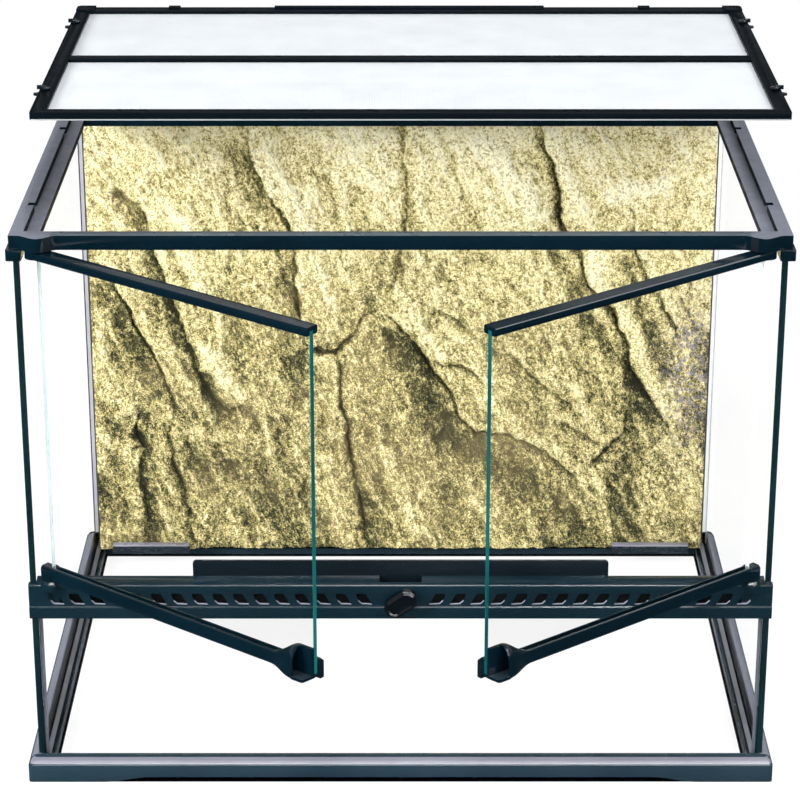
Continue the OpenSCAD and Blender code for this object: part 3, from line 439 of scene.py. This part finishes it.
# dark colour, light colour, roughness, scale and depth of the grain, dust, specular level
PLASTICS = {
    "base_plastic": ((0.007, 0.017, 0.026), (0.013, 0.027, 0.038), 0.16, 1100.0, 0.04),
    "frame_plastic": (
        (0.0003, 0.004, 0.007), (0.0008, 0.007, 0.012), 0.16, 1000.0, 0.05, 0.0, 0.35
    ),
    "beam_plastic": ((0.001, 0.007, 0.011), (0.003, 0.012, 0.018), 0.18, 1000.0, 0.05),
    "lid_plastic": ((0.0008, 0.002, 0.003), (0.002, 0.004, 0.006), 0.3, 800.0, 0.06, 0.0, 0.02),
    "black_plastic": ((0.001, 0.003, 0.005), (0.004, 0.007, 0.010), 0.18, 1100.0, 0.04),
    "strip_plastic": ((0.006, 0.009, 0.012), (0.012, 0.016, 0.020), 0.46, 700.0, 0.15, 0.3, 0.2),
    "clip_plastic": ((0.006, 0.010, 0.014), (0.014, 0.019, 0.025), 0.26, 900.0, 0.06),
    # lighter tops of the background clips: painted sheen
    "clip_top_sheen": ((0.13, 0.13, 0.17), (0.19, 0.19, 0.23), 0.3, 900.0, 0.06),
    # lighter tops of the top frame: painted sheen of the light from above, with dust specks
    "rail_top": ((0.088, 0.096, 0.120), (0.112, 0.120, 0.148), 0.34, 700.0, 0.08, 0.25),
    "ledge_top": ((0.105, 0.110, 0.140), (0.150, 0.155, 0.190), 0.42, 500.0, 0.20, 0.8),
    "beam_top_dust_and_sheen": ((0.040, 0.052, 0.060), (0.060, 0.076, 0.086), 0.3, 700.0, 0.08, 0.25),
    "inner_wall": ((0.004, 0.006, 0.009), (0.008, 0.011, 0.015), 0.6, 700.0, 0.08, 0.0, 0.05),
    # pale sills of the vent slots: painted highlight
    "slot_sill_highlight": ((0.20, 0.20, 0.25), (0.30, 0.30, 0.36), 0.3, 900.0, 0.06),
    # lighter floor of the finger pulls: painted sheen, with dust specks
    "pull_floor": ((0.004, 0.010, 0.014), (0.018, 0.028, 0.034), 0.3, 900.0, 0.06, 0.8),
    # paler rounded edges of the bottom rails: painted highlights, bright and faint
    "bright_edge_highlight": ((0.17, 0.19, 0.25), (0.30, 0.33, 0.41), 0.2, 900.0, 0.05),
    "dull_edge_highlight": ((0.030, 0.040, 0.055), (0.055, 0.070, 0.090), 0.2, 900.0, 0.05),
    "knob_plastic": (
        (0.0004, 0.0010, 0.002), (0.0012, 0.0020, 0.003), 0.1, 1100.0, 0.03, 0.0, 1.0
    ),
    # lilac grey of the base's side rails: painted sheen, with dust specks
    "side_band_dust_and_sheen": ((0.105, 0.112, 0.138), (0.150, 0.158, 0.190), 0.36, 700.0, 0.08, 0.2),
    # paler round top of the base's front rail: painted highlight, with a little dust
    "cove_dust_and_highlight": ((0.10, 0.10, 0.125), (0.15, 0.15, 0.175), 0.2, 700.0, 0.05, 0.1),
    # pale lower front edge of the lid: painted highlight
    "lid_lip_highlight": ((0.20, 0.21, 0.21), (0.28, 0.29, 0.29), 0.3, 800.0, 0.06),
}

GLASS_EDGES = {
    "glass_edge": ((0.001, 0.030, 0.032), (0.005, 0.090, 0.085)),
    "dark_edge": ((0.001, 0.006, 0.008), (0.003, 0.015, 0.017)),
    # pale hinge edge of the doors: painted light
    "hinge_edge_light": ((0.42, 0.50, 0.50), (0.60, 0.68, 0.67)),
    # glass edges in the base's band: its painted sheen
    "band_edge_sheen": ((0.105, 0.112, 0.138), (0.150, 0.158, 0.190)),
    # pale and lilac grey rear edges of the side panes: painted highlight and sheen
    "rear_edge_highlight": ((0.74, 0.76, 0.77), (0.88, 0.90, 0.91)),
    "seam_edge_sheen": ((0.27, 0.27, 0.31), (0.36, 0.36, 0.41)),
}

M = {name: plastic(name, *values) for name, values in PLASTICS.items()}
M.update((name, glass_edge(name, *values)) for name, values in GLASS_EDGES.items())
M.update(
    clear_glass=glass("clear_glass", 0.05),
    door_glass=glass("door_glass", 0.12),
    silicone=silicone("silicone"),
    steel_mesh=woven_mesh("steel_mesh", (0.66, 0.68, 0.70), (0.72, 0.74, 0.76), 0.2),
    dark_mesh=woven_mesh("dark_mesh", (0.004, 0.005, 0.007), (0.010, 0.012, 0.014), 0.0),
    pin_steel=steel("pin_steel"),
    rock_foam=rock_foam("rock_foam"),
)

# ------------------------------------------------------------ glass panes

# material slots of a pane: its faces and its ground edges
FACE, EDGE = 0, 1


def pane(node, corner_a, corner_b, edge="dark_edge", face="clear_glass", chamfer=0.5):
    """A pane between two corners in mm: clear faces, green ground edges with a small chamfer."""
    a, b = np.array(corner_a, float), np.array(corner_b, float)
    thin = int(np.argmin(b - a))
    u, v = [i for i in range(3) if i != thin]

    def point(t, s, q):
        p = [0.0, 0.0, 0.0]
        p[thin], p[u], p[v] = t, s, q
        return p

    c = chamfer
    verts = []
    for t, inset in ((a[thin], c), (a[thin] + c, 0.0), (b[thin] - c, 0.0), (b[thin], c)):
        u_lo, u_hi, v_lo, v_hi = a[u] + inset, b[u] - inset, a[v] + inset, b[v] - inset
        verts += [point(t, *sq) for sq in ((u_lo, v_lo), (u_hi, v_lo), (u_hi, v_hi), (u_lo, v_hi))]
    faces = []
    for k in range(3):
        for i in range(4):
            j = (i + 1) % 4
            faces.append([k * 4 + i, k * 4 + j, (k + 1) * 4 + j, (k + 1) * 4 + i])
    faces += [[3, 2, 1, 0], [12, 13, 14, 15]]
    if thin == 1:
        faces = [f[::-1] for f in faces]
    mats = [EDGE] * 12 + [FACE] * 2
    return stands_for(make_object(node + "_look", verts, faces, [M[face], M[edge]], mats), node)


def box_mm(node):
    lo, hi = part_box(node)
    return [c / MM for c in lo], [c / MM for c in hi]


floor_pane = pane("floor_glass", *box_mm("floor_glass"))
# the side edges of the floor glass take the painted sheen of the base's band
second_material(
    floor_pane, "band_edge_sheen",
    lambda f: f.material_index == EDGE and abs(f.center.x) > FLOOR_EDGE_X,
)
for side, s in SIDES:
    o = pane(side + "_side_glass", *box_mm(side + "_side_glass"), chamfer=0.9)
    # the rear edges that lie in silicone are painted lighter: a pale painted highlight on the
    # right and a greyer painted sheen on the left
    # on the left the outer chamfer of the rear edge stays dark
    second_material(
        o, "seam_edge_sheen" if s < 0 else "rear_edge_highlight",
        lambda f: f.material_index == EDGE and f.center.y > SEAM_Y
        and (s > 0 or abs(f.center.x) < SEAM_X),
    )
    # the lower edges of the side panes take the painted sheen of the base's band
    second_material(
        o, "band_edge_sheen", lambda f: f.material_index == EDGE and f.center.z < SUNK_EDGE_Z
    )
pane("back_glass", *box_mm("back_glass"))
pane("lower_front_glass", *box_mm("lower_front_glass"))


def door_place(s):
    """Places a piece drawn for a closed left door, x from the hinge axis; s = 1 mirrors it."""
    place = Matrix.Translation((-HINGE_X * MM, HINGE_Y * MM, 0)) @ Matrix.Rotation(
        math.radians(-DOOR_OPEN), 4, "Z"
    )
    if s > 0:
        place = Matrix.Diagonal((-1, 1, 1, 1)) @ place
    return place


for side, s in SIDES:
    o = pane(side + "_door_glass", *DOOR_PANE, "glass_edge", "door_glass")
    # the edge at the hinge is pale: painted light, like the bright floor seen through it
    second_material(o, "hinge_edge_light", lambda f: f.center.x < HINGE_EDGE_X * MM)
    o.data.transform(door_place(s))
    if s > 0:
        o.data.flip_normals()

# ------------------------------------------------------------ moulded parts from the CAD shapes


def faces_in(f):
    """An upright face that looks at the middle of the tank."""
    return f.normal.x * f.center.x < 0 and abs(f.normal.x) > STEEP


def on_top(f, heights):
    return f.normal.z > 0.8 and heights[0] < f.center.z < heights[1]


def on_side_band(f):
    """The round top and the inner wall of the side rails of the base."""
    if abs(f.center.x) < BASE_BAND_X or abs(f.center.y) > SIDE_RAIL_Y:
        return False
    wall = faces_in(f) and f.center.z > BASE_WALL_Z
    return wall or (f.normal.z > 0.35 and f.center.z > BASE_TOP_Z)


def on_ledge(f):
    """The ledge at the sides that carries the floor glass, and its inner wall."""
    low = abs(f.center.x) > BASE_LEDGE_X and abs(f.center.y) < SIDE_RAIL_Y
    return low and f.center.z < BASE_LEDGE_Z and (faces_in(f) or f.normal.z > 0.35)


def on_cove(f):
    """The round top of the front rail of the base."""
    return f.center.y < COVE_Y and 0.3 < f.normal.z < 0.96 and f.center.z > BASE_TOP_Z


def both_sides(axis, place):
    """Cuts across an axis, as far out on both sides."""
    normal = [0, 0, 0]
    normal[axis] = 1
    return [([place * s * c for c in normal], normal) for s in (1, -1)]


base = softened("base_frame", "base_plastic", 0.5, cuts=both_sides(1, SIDE_RAIL_Y))
# the round top and inner wall of the side rails and the glass ledge are lilac grey: painted sheen,
# with some dust
second_material(base, "side_band_dust_and_sheen", lambda f: on_side_band(f) or on_ledge(f))
# the round top of the front rail is paler: a painted highlight, with a little dust
second_material(base, "cove_dust_and_highlight", on_cove)

top = softened("top_frame", "frame_plastic", 0.55, 3, cuts=both_sides(0, TOP_RAIL_X))
# the tops of the top frame are lighter than its plastic: painted sheen of the light from above,
# with some dust
second_material(
    top, "rail_top", lambda f: on_top(f, TOP_FACE_Z) and abs(f.center.x) > TOP_RAIL_X
)
second_material(
    top, "beam_top_dust_and_sheen", lambda f: on_top(f, TOP_FACE_Z) and abs(f.center.x) < TOP_RAIL_X
)
second_material(
    top, "ledge_top", lambda f: on_top(f, LID_LEDGE_Z) and abs(f.center.x) > TOP_RAIL_X
)
second_material(top, "inner_wall", faces_in)

softened("rear_inlet_strip", "strip_plastic", 0.3)
beam = softened("vent_beam", "beam_plastic", 0.45)
# the sills of the vent slots are pale: painted highlight
second_material(
    beam, "slot_sill_highlight",
    lambda f: f.normal.z > 0.55 and SLOT_SILL_Z[0] < f.center.z < SLOT_SILL_Z[1],
)
softened("door_stop", "black_plastic", 0.5)

lid_lo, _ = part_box("lid_frame")
lip_top = lid_lo[2] + LIP_H
lid = softened("lid_frame", "lid_plastic", cuts=[((0, 0, lip_top), (0, 0, 1))])
# the lowest mm of the lid's front is pale: a painted highlight
second_material(
    lid, "lid_lip_highlight",
    lambda f: f.center.y < lid_lo[1] + LIP_H and f.center.z < lip_top and f.normal.y < -0.3,
)
softened("lid_crossbar", "lid_plastic")
softened("lock_knob", "knob_plastic", 1.1, 4)
softened("lock_cam", "black_plastic", 0.3)

for side, s in SIDES:
    softened(side + "_corner_clip", "frame_plastic", 0.5)
    clip = softened(side + "_background_clip", "clip_plastic")
    # the tops of the background clips are lighter: painted sheen
    second_material(clip, "clip_top_sheen", lambda f: f.normal.z > 0.7)
    softened(side + "_door_top_rail", "frame_plastic")
    # the rounded edges that face up are paler: painted highlights, faint on the left door and
    # bright on the right
    edge_highlight = "dull_edge_highlight" if s < 0 else "bright_edge_highlight"
    rail = softened(side + "_door_bottom_rail", "frame_plastic", 0.8, 3, edge=edge_highlight)
    # the floor of the finger pull is lighter: painted sheen of the light on it, with dust specks
    second_material(
        rail, "pull_floor", lambda f: f.normal.z > 0.7 and f.center.z < PULL_FLOOR_Z
    )
    softened(side + "_door_catch", "black_plastic", 0.3)
    for place in ("front", "rear"):
        softened(f"{side}_{place}_latch", "black_plastic", 0.25)
    for place in ("inner", "middle", "outer"):
        softened(f"{side}_{place}_gate", "clip_plastic", 0.3)

for name in (
    "silicone_seams", "lid_front_mesh", "lid_rear_mesh", "left_door_pins", "right_door_pins"
):
    set_materials(nodes[name].data, [M[slot_of[name]]])
set_materials(nodes["vent_screens"].data, [M["dark_mesh"]])

# ------------------------------------------------------------ rock background

LATTICE = 128


def value_noise(x, z, scale, seed, octaves):
    """Smooth noise from -1 to 1, each octave twice as fine and half as strong."""
    total = np.zeros_like(x)
    amp, norm = 1.0, 0.0
    for k in range(octaves):
        lattice = np.random.default_rng(seed + 31 * k).uniform(-1, 1, (LATTICE, LATTICE))
        fx, fz = x * scale * 2**k + 17.3 * k, z * scale * 2**k + 9.1 * k
        ix, iz = np.floor(fx).astype(int), np.floor(fz).astype(int)
        tx, tz = fx - ix, fz - iz
        tx, tz = tx * tx * (3 - 2 * tx), tz * tz * (3 - 2 * tz)
        a = lattice[ix % LATTICE, iz % LATTICE]
        b = lattice[(ix + 1) % LATTICE, iz % LATTICE]
        c = lattice[ix % LATTICE, (iz + 1) % LATTICE]
        d = lattice[(ix + 1) % LATTICE, (iz + 1) % LATTICE]
        total += amp * ((a * (1 - tx) + b * tx) * (1 - tz) + (c * (1 - tx) + d * tx) * tz)
        norm += amp
        amp *= 0.5
    return total / norm


def line_distance(x, z, pts):
    """Distance to a polyline, the side it lies on (+1 left of a line drawn downwards) and the
    place along it, from 0 to 1."""
    best = np.full(x.shape, 1e9)
    side = np.zeros(x.shape)
    along = np.zeros(x.shape)
    total = sum(np.hypot(b[0] - a[0], b[1] - a[1]) for a, b in zip(pts, pts[1:]))
    run = 0.0
    for (x0, z0), (x1, z1) in zip(pts, pts[1:]):
        dx, dz = x1 - x0, z1 - z0
        l2 = dx * dx + dz * dz
        t = np.clip(((x - x0) * dx + (z - z0) * dz) / l2, 0, 1)
        d = np.hypot(x0 + t * dx - x, z0 + t * dz - z)
        cross = (x - x0) * dz - (z - z0) * dx
        near = d < best
        best = np.where(near, d, best)
        side = np.where(near, np.sign(cross), side)
        along = np.where(near, (run + t * np.sqrt(l2)) / total, along)
        run += np.sqrt(l2)
    return best, side, along


def on_panel(px, py):
    """A place drawn in the photo's frame of 800 by 800, as x and z on the panel in mm."""
    return (px - 402.0) * 580.0 / 628.0, 13.3 + (535.0 - py) * 439.2 / 416.0


# the top edge of the panel in the photo's frame; a crack that starts there does not fade in
PANEL_TOP = 114

# line, groove depth and width, step down on its left (right if negative), reach of the step,
# rise on the other side, reach of the rise; all in mm but the line
CRACKS = [
    (((248, 112), (250, 150), (262, 186), (275, 204), (288, 228), (294, 249), (298, 273),
      (301, 314), (305, 340)), 3.4, 2.0, 4.5, 20, 1.5, 16),
    (((305, 338), (316, 345), (337, 346), (355, 330), (366, 308), (386, 300)),
      3.2, 1.8, -3.6, 26, 0.5, 10),
    (((386, 300), (408, 324), (431, 351), (451, 381), (462, 408), (480, 421), (514, 424)),
      3.2, 2.0, 6.0, 24, 1.5, 20),
    (((514, 424), (540, 434), (566, 452), (596, 474)), 1.0, 4.0, 3.0, 22, 0.8, 16),
    (((433, 351), (471, 363), (492, 374)), 2.0, 1.8, 1.2, 14, 0.0, 10),
    (((100, 262), (121, 294), (137, 326), (147, 344), (160, 373), (182, 412)),
      3.0, 2.0, 3.6, 20, 1.0, 16),
    (((172, 400), (164, 424), (167, 453), (180, 493), (186, 540)), 2.2, 1.8, 1.5, 20, 0.6, 12),
    (((147, 224), (152, 249), (162, 271), (172, 300), (186, 340), (197, 366), (214, 390),
      (229, 400), (241, 391)), 2.6, 2.6, 4.8, 18, 2.2, 18),
    (((335, 345), (339, 387), (345, 418), (353, 463), (366, 540)), 3.0, 2.0, -3.2, 18, 0.0, 14),
    (((543, 112), (545, 151), (555, 177), (563, 226), (580, 249), (596, 283), (614, 306),
      (627, 328), (645, 365), (665, 398), (684, 428)), 2.8, 2.2, 5.4, 18, 2.0, 18),
    (((612, 204), (635, 210), (639, 249), (651, 269), (671, 306), (688, 336)),
      2.2, 2.0, 3.6, 15, 1.4, 14),
    (((431, 300), (450, 306), (461, 312), (480, 328)), 2.0, 1.8, 1.4, 12, 0.6, 10),
    (((504, 334), (516, 350), (538, 368), (560, 384), (584, 400)), 1.6, 2.0, 1.6, 12, 0.8, 12),
    (((560, 408), (590, 420), (612, 436)), 1.6, 2.0, 1.2, 12, 0.6, 10),
    (((635, 400), (628, 420), (612, 438), (602, 449), (622, 448)), 2.2, 2.0, -1.6, 12, 0.6, 10),
    (((620, 452), (622, 504), (626, 540)), 1.8, 2.0, -2.2, 18, 0.0, 10),
    (((404, 112), (409, 180), (407, 228), (399, 276), (386, 300)), 1.0, 6.0, 2.2, 12, 1.4, 14),
    (((440, 128), (452, 160), (466, 196), (478, 228)), 1.2, 2.4, 1.6, 12, 0.8, 12),
    (((120, 190), (127, 200), (141, 204), (149, 226)), 2.6, 2.2, 3.2, 13, 1.2, 10),
    (((135, 398), (127, 424), (130, 434), (118, 444)), 2.4, 1.8, -1.8, 12, 0.4, 8),
    (((84, 398), (112, 412), (128, 426)), 1.6, 1.8, 1.0, 10, 0.6, 8),
    (((130, 434), (134, 470), (142, 540)), 1.4, 2.2, -2.0, 16, 0.5, 10),
    (((262, 400), (272, 412), (286, 440), (300, 470)), 1.0, 2.6, 1.6, 14, 0.6, 10),
]

# strokes of painted shade and painted highlight that also shape the surface: line, half width,
# strength (+ painted shade in a hollow, - painted highlight on a bulge)
SHADE_AND_HIGHLIGHT_STROKES = [
    (((240, 112), (243, 160), (262, 212), (284, 262), (291, 320)), 11, 0.45),
    (((150, 262), (166, 300), (184, 346), (206, 384), (228, 396)), 10, 0.7),
    (((100, 285), (118, 318), (138, 356), (150, 384)), 9, 0.7),
    (((396, 330), (416, 356), (436, 392), (452, 426), (474, 440)), 15, 0.9),
    (((420, 395), (440, 440), (456, 500), (462, 540)), 12, 0.5),
    (((205, 447), (250, 470), (285, 500), (300, 535)), 26, 0.62),
    (((495, 452), (540, 478), (580, 505), (612, 528)), 24, 0.85),
    (((520, 520), (570, 535)), 18, 0.4),
    (((648, 372), (642, 410), (634, 450), (640, 500), (648, 530)), 17, 0.8),
    (((537, 112), (540, 160), (556, 205), (578, 246)), 9, 0.7),
    (((405, 112), (412, 170), (410, 225), (404, 262)), 7, 0.65),
    (((556, 254), (580, 286), (598, 322), (618, 352)), 10, 0.6),
    (((628, 258), (644, 300), (660, 336), (676, 362)), 9, 0.7),
    (((134, 424), (138, 470), (144, 530)), 9, 0.6),
    (((122, 196), (134, 214), (144, 236)), 9, 0.6),
    (((296, 352), (300, 386)), 12, 0.6),
    (((372, 352), (384, 400), (392, 460), (404, 520)), 22, 0.25),
    (((345, 420), (356, 470), (372, 530)), 10, 0.5),
    (((90, 470), (92, 505)), 10, 0.5),
    (((166, 440), (176, 480), (182, 520)), 9, 0.45),
    (((470, 255), (500, 262), (520, 280)), 9, 0.35),
    (((600, 140), (640, 150), (664, 150)), 12, 0.35),
    (((300, 150), (330, 200), (346, 222)), 10, 0.3),
    (((220, 130), (232, 180), (240, 222)), 10, 0.2),
    (((185, 245), (200, 285), (214, 320)), 12, -0.8),
    (((205, 340), (226, 370), (240, 384)), 11, -1.0),
    (((165, 200), (185, 220)), 11, -0.7),
    (((612, 196), (640, 190), (668, 186)), 12, -0.9),
    (((486, 150), (512, 180), (536, 214)), 13, -0.8),
    (((265, 160), (290, 196), (304, 226)), 9, -0.5),
    (((308, 200), (320, 260), (334, 320)), 14, -0.55),
    (((440, 290), (462, 330), (490, 380)), 13, -0.5),
    (((404, 290), (424, 318), (446, 344)), 9, -0.7),
    (((590, 250), (616, 288), (640, 326), (662, 368), (676, 398)), 9, -0.6),
    (((568, 180), (584, 222), (604, 262)), 10, -0.35),
    (((330, 100), (352, 140), (368, 180)), 16, -0.35),
    (((328, 450), (336, 500)), 10, -0.5),
    (((382, 440), (402, 480), (420, 520)), 11, -0.6),
    (((560, 360), (586, 390), (604, 410)), 10, -0.35),
    (((96, 230), (110, 262), (122, 286)), 9, -0.35),
    (((160, 330), (176, 362), (190, 392)), 7, -0.5),
    (((96, 330), (108, 372), (118, 398)), 10, -0.45),
    (((100, 430), (116, 440), (124, 446)), 9, -0.6),
    (((680, 430), (700, 450), (706, 500)), 12, -0.3),
    (((190, 420), (230, 424), (262, 432)), 9, -0.35),
    (((500, 400), (530, 420), (560, 440)), 10, -0.4),
]


def strokes(wx, wz):
    total = np.zeros_like(wx)
    for pts, width, strength in SHADE_AND_HIGHLIGHT_STROKES:
        d, _, _ = line_distance(wx, wz, [on_panel(*p) for p in pts])
        total += strength * np.exp(-((d / (width * 0.93)) ** 2))
    return total


def smooth_step(t):
    return t * t * (3 - 2 * t)


def relief_mm(X, Z):
    """Height of the rock towards the viewer in mm, and the darkness painted on it: painted shade
    and light, with some of the foam's own dark colouring.
    """
    wx = X + 5.0 * value_noise(X + 400, Z + 400, 0.035, 11, 3)
    wx += 1.6 * value_noise(X + 30, Z + 60, 0.16, 12, 2)
    wz = Z + 5.0 * value_noise(X + 400, Z + 400, 0.035, 23, 3)
    wz += 1.6 * value_noise(X + 90, Z + 20, 0.16, 13, 2)
    u = wx * 0.93 + wz * 0.37          # across the bedding
    v = wx * 0.37 - wz * 0.93          # along it
    paint_and_shade = strokes(wx, wz)
    h = -3.4 * paint_and_shade
    h += 1.6 * value_noise(u + 900, v * 0.35 + 900, 0.016, 5, 2)
    crease = value_noise(u + 500, v * 0.34 + 700, 0.045, 61, 3)
    h += 2.6 * (0.5 - np.abs(crease) * 2.0)
    # the strokes count a little more, and where the creases sink it is darker: painted shade
    paint_and_shade = 1.2 * paint_and_shade + 0.35 * (np.abs(crease) * 2.0 - 0.35)
    # painted light and shade over the height and the width of the panel: lighter towards the top,
    # more so in the middle and on the right, darker towards the bottom, more so at the lower left,
    # and lighter again just under the top edge
    paint_and_shade += np.interp(Z, (60, 230, 420), (0.62, 0.54, -0.62))
    paint_and_shade -= np.interp(X, (-160, 0), (0.0, 0.42)) * np.interp(Z, (230, 360), (0.0, 1.0))
    paint_and_shade += np.interp(X, (-200, 40), (0.20, 0.0)) * np.interp(Z, (160, 330), (1.0, 0.0))
    paint_and_shade -= np.interp(Z, (400, 445), (0.0, 0.4))
    h += 1.5 * value_noise(wx + 700, wz + 700, 0.06, 41, 3)
    h += 0.9 * (1 - np.abs(value_noise(u + 200, v * 0.55 + 300, 0.12, 77, 3)) * 3.0)
    vary = 0.75 + 0.7 * value_noise(wx + 50, wz + 80, 0.035, 99, 2)
    wash_and_shade = np.zeros_like(X)
    for pts, groove, width, step, reach, rise, rise_reach in CRACKS:
        d, side, t = line_distance(wx, wz, [on_panel(*p) for p in pts])
        start = 1 if pts[0][1] < PANEL_TOP else np.clip(t * 7, 0, 1)
        fade = 0.2 + 0.8 * smooth_step(np.clip((1 - t) * 7, 0, 1) * start)
        low = side > 0 if step > 0 else side < 0
        drop = abs(step) * np.exp(-((d / reach) ** 1.4))
        h += np.where(low, -drop * vary, rise * np.exp(-((d / rise_reach) ** 2))) * fade
        # darker on the low side of each step and along the groove: painted shade
        wash_and_shade += np.where(low, 0.09 * drop * vary, 0.0) * fade
        g = np.exp(-((d / (width * (0.7 + 0.5 * vary))) ** 2)) * fade * vary
        h -= groove * g
        wash_and_shade += g * groove / 3.0
    h += value_noise(wx + 100, wz + 100, 0.17, 47, 3)
    return h, paint_and_shade + wash_and_shade


def rock_panel():
    """The foam panel: a carved front face, its cut edges and a flat back."""
    nx, nz = 480, 364
    lo, hi = box_mm("background_panel")
    gx = np.linspace(lo[0], hi[0], nx + 1)
    gz = np.linspace(lo[2], hi[2], nz + 1)
    X, Z = np.meshgrid(gx, gz)
    h, wash_and_shade = relief_mm(X, Z)
    fine = value_noise(X + 50, Z + 50, 0.42, 71, 3)
    top, low = np.percentile(h, 99.7), np.percentile(h, 0.15)
    y_front, y_deep = lo[1] + 0.2, hi[1] - 4.5
    scale = min(1.0, (y_deep - y_front) / (top - low))
    Y = np.clip(y_front + (top - h) * scale - 0.34 * fine, y_front, y_deep)
    verts = np.stack([X, Y, Z], -1).reshape(-1, 3)
    ids = np.arange((nx + 1) * (nz + 1)).reshape(nz + 1, nx + 1)
    quads = np.stack([ids[:-1, :-1], ids[:-1, 1:], ids[1:, 1:], ids[1:, :-1]], -1)
    ring = np.concatenate([ids[0, :-1], ids[:-1, -1], ids[-1, :0:-1], ids[:0:-1, 0]])
    rim_back = verts[ring].copy()
    rim_back[:, 1] = hi[1] - 0.05
    first, count = len(verts), len(ring)
    faces = [tuple(q) for q in quads.reshape(-1, 4).tolist()]
    for i in range(count):
        j = (i + 1) % count
        faces.append((int(ring[j]), int(ring[i]), first + i, first + j))
    faces.append(tuple(first + i for i in range(count)))
    o = make_object(
        "rock_background", np.concatenate([verts, rim_back]).tolist(), faces,
        [M["rock_foam"]], smooth=True,
    )
    blur = h
    for _ in range(12):
        blur = sum((np.roll(blur, k, axis) for axis in (0, 1) for k in (2, -2)), blur) / 5
    # the small purple patch near the right edge
    cx, cz = on_panel(697, 362)
    purple = np.exp(-(((X - cx) / 22.0) ** 2 + ((Z - cz) / 70.0) ** 2))
    # the painted shade and light, how far each place sinks below its surroundings, and the purple
    # patch go to the mesh as attributes
    for name, field, rest in (
        ("wash_and_shade", wash_and_shade, 0.4), ("hollow", blur - h, 0.0), ("purple", purple, 0.0)
    ):
        values = np.concatenate([field.reshape(-1), np.full(count, rest)]).astype(np.float32)
        o.data.attributes.new(name, "FLOAT", "POINT").data.foreach_set("value", values)
    stands_for(o, "background_panel")


rock_panel()

# ------------------------------------------------------------ floor, light and camera


def white_stage(name):
    """A white floor that keeps the shadows, and is dim to gloss."""
    n = Nodes(name)
    path = n.add("ShaderNodeLightPath").outputs
    seen = n.math("MAXIMUM", path["Is Camera Ray"], path["Is Transmission Ray"])
    white = n.shaders(
        n.math("MULTIPLY", seen, 0.84),
        n.plain("ShaderNodeBsdfDiffuse", (0.84, 0.84, 0.84)),
        n.plain("ShaderNodeEmission", (1.0, 1.0, 1.0), 1.05),
    )
    dim = n.plain("ShaderNodeEmission", (0.035, 0.05, 0.065), 1.0)
    floor = n.shaders(path["Is Glossy Ray"], white, dim)
    # under the rim of the base the floor is in full shadow, which shows in the low arches
    place = n.axes()
    within = []
    for reach in (SHADE_OUT, SHADE_IN):
        x, y = (n.math("LESS_THAN", n.math("ABSOLUTE", place[a]), r) for a, r in zip("XY", reach))
        within.append(n.math("MULTIPLY", x, y))
    shade = n.plain("ShaderNodeBsdfDiffuse", (0.002, 0.002, 0.003))
    return n.finish(n.shaders(n.math("SUBTRACT", *within), floor, shade))


FLOOR_R = 1300.0
turns = [math.radians(a) for a in range(0, 360, 5)]
floor = make_object(
    "floor", [(FLOOR_R * math.cos(t), FLOOR_R * math.sin(t), 0) for t in turns],
    [tuple(range(len(turns)))], [white_stage("white_stage")],
)

# what gloss sees of the studio, from straight below (0) to straight above (1)
STUDIO = (
    (0.0, 0.03), (0.5, 0.05), (0.635, 0.09), (0.66, 0.75), (0.72, 0.75), (0.76, 0.30), (1.0, 0.10)
)


def studio_world():
    """White to the camera; to gloss a studio that is bright above and dim at the floor."""
    n = Nodes("studio", "World")
    path = n.add("ShaderNodeLightPath").outputs
    height = n.grey(n.axes("Generated")["Z"], -1.0, 1.0)
    gloss = n.add("ShaderNodeBackground")
    n.link(n.ramp(height, [(p, (v, v, v * 1.03)) for p, v in STUDIO]), gloss.inputs["Color"])
    light = n.plain("ShaderNodeBackground", (1.0, 1.0, 1.0), 0.45)
    white = n.plain("ShaderNodeBackground", (1.0, 1.0, 1.0), 1.0)
    unseen = n.shaders(path["Is Glossy Ray"], light, gloss.outputs[0])
    seen = n.math("MAXIMUM", path["Is Camera Ray"], path["Is Transmission Ray"])
    return n.finish(n.shaders(seen, unseen, white))


scene.world = studio_world()


def softbox(name, place, target, size, watts, color=(1, 1, 1), hidden_from=None):
    light = bpy.data.lights.new(name, "AREA")
    light.shape = "RECTANGLE"
    light.size, light.size_y = size
    light.energy = watts
    light.color = color
    o = bpy.data.objects.new(name, light)
    scene.collection.objects.link(o)
    o.location = place
    o.rotation_euler = (Vector(target) - Vector(place)).to_track_quat("-Z", "Y").to_euler()
    if hidden_from:
        setattr(o, "visible_" + hidden_from, False)


COOL = (0.94, 0.97, 1.0)
softbox("strip", (0, -1.25, 2.15), (0, 0, 0.2), (2.6, 0.24), 34, COOL)
softbox("side", (1.6, -0.2, 1.75), (0, 0, 0.25), (1.3, 0.5), 14, COOL)
softbox("fill", (1.6, -1.3, 1.3), (0, 0, 0.25), (1.4, 1.4), 44)
softbox("rake", (-1.9, -1.15, 1.2), (0.02, 0.2, 0.28), (0.7, 0.7), 103, hidden_from="glossy")
softbox("front", (-0.5, -2.3, 0.42), (0, 0.2, 0.4), (0.9, 0.4), 16, hidden_from="glossy")
softbox("gleam", (0.35, -2.8, 1.85), (0, 0, 0.2), (3.0, 0.45), 105, hidden_from="diffuse")

# the photo's perspective: focal length in pixels of a picture 800 wide, tilt in degrees
FOCAL_PX, PICTURE_PX, SENSOR = 2765.1, 800.0, 36.0
TILT = 21.393
cam_data = bpy.data.cameras.new("camera")
cam = bpy.data.objects.new("camera", cam_data)
scene.collection.objects.link(cam)
cam.location = (-0.0005, -2.2376, 1.123)
cam.rotation_euler = (math.radians(90 - TILT), 0, 0)
cam_data.sensor_width = SENSOR
cam_data.sensor_fit = "HORIZONTAL"
cam_data.lens = FOCAL_PX * SENSOR / PICTURE_PX
cam_data.clip_end = 60.0
scene.camera = cam
scene.view_settings.view_transform = "Standard"
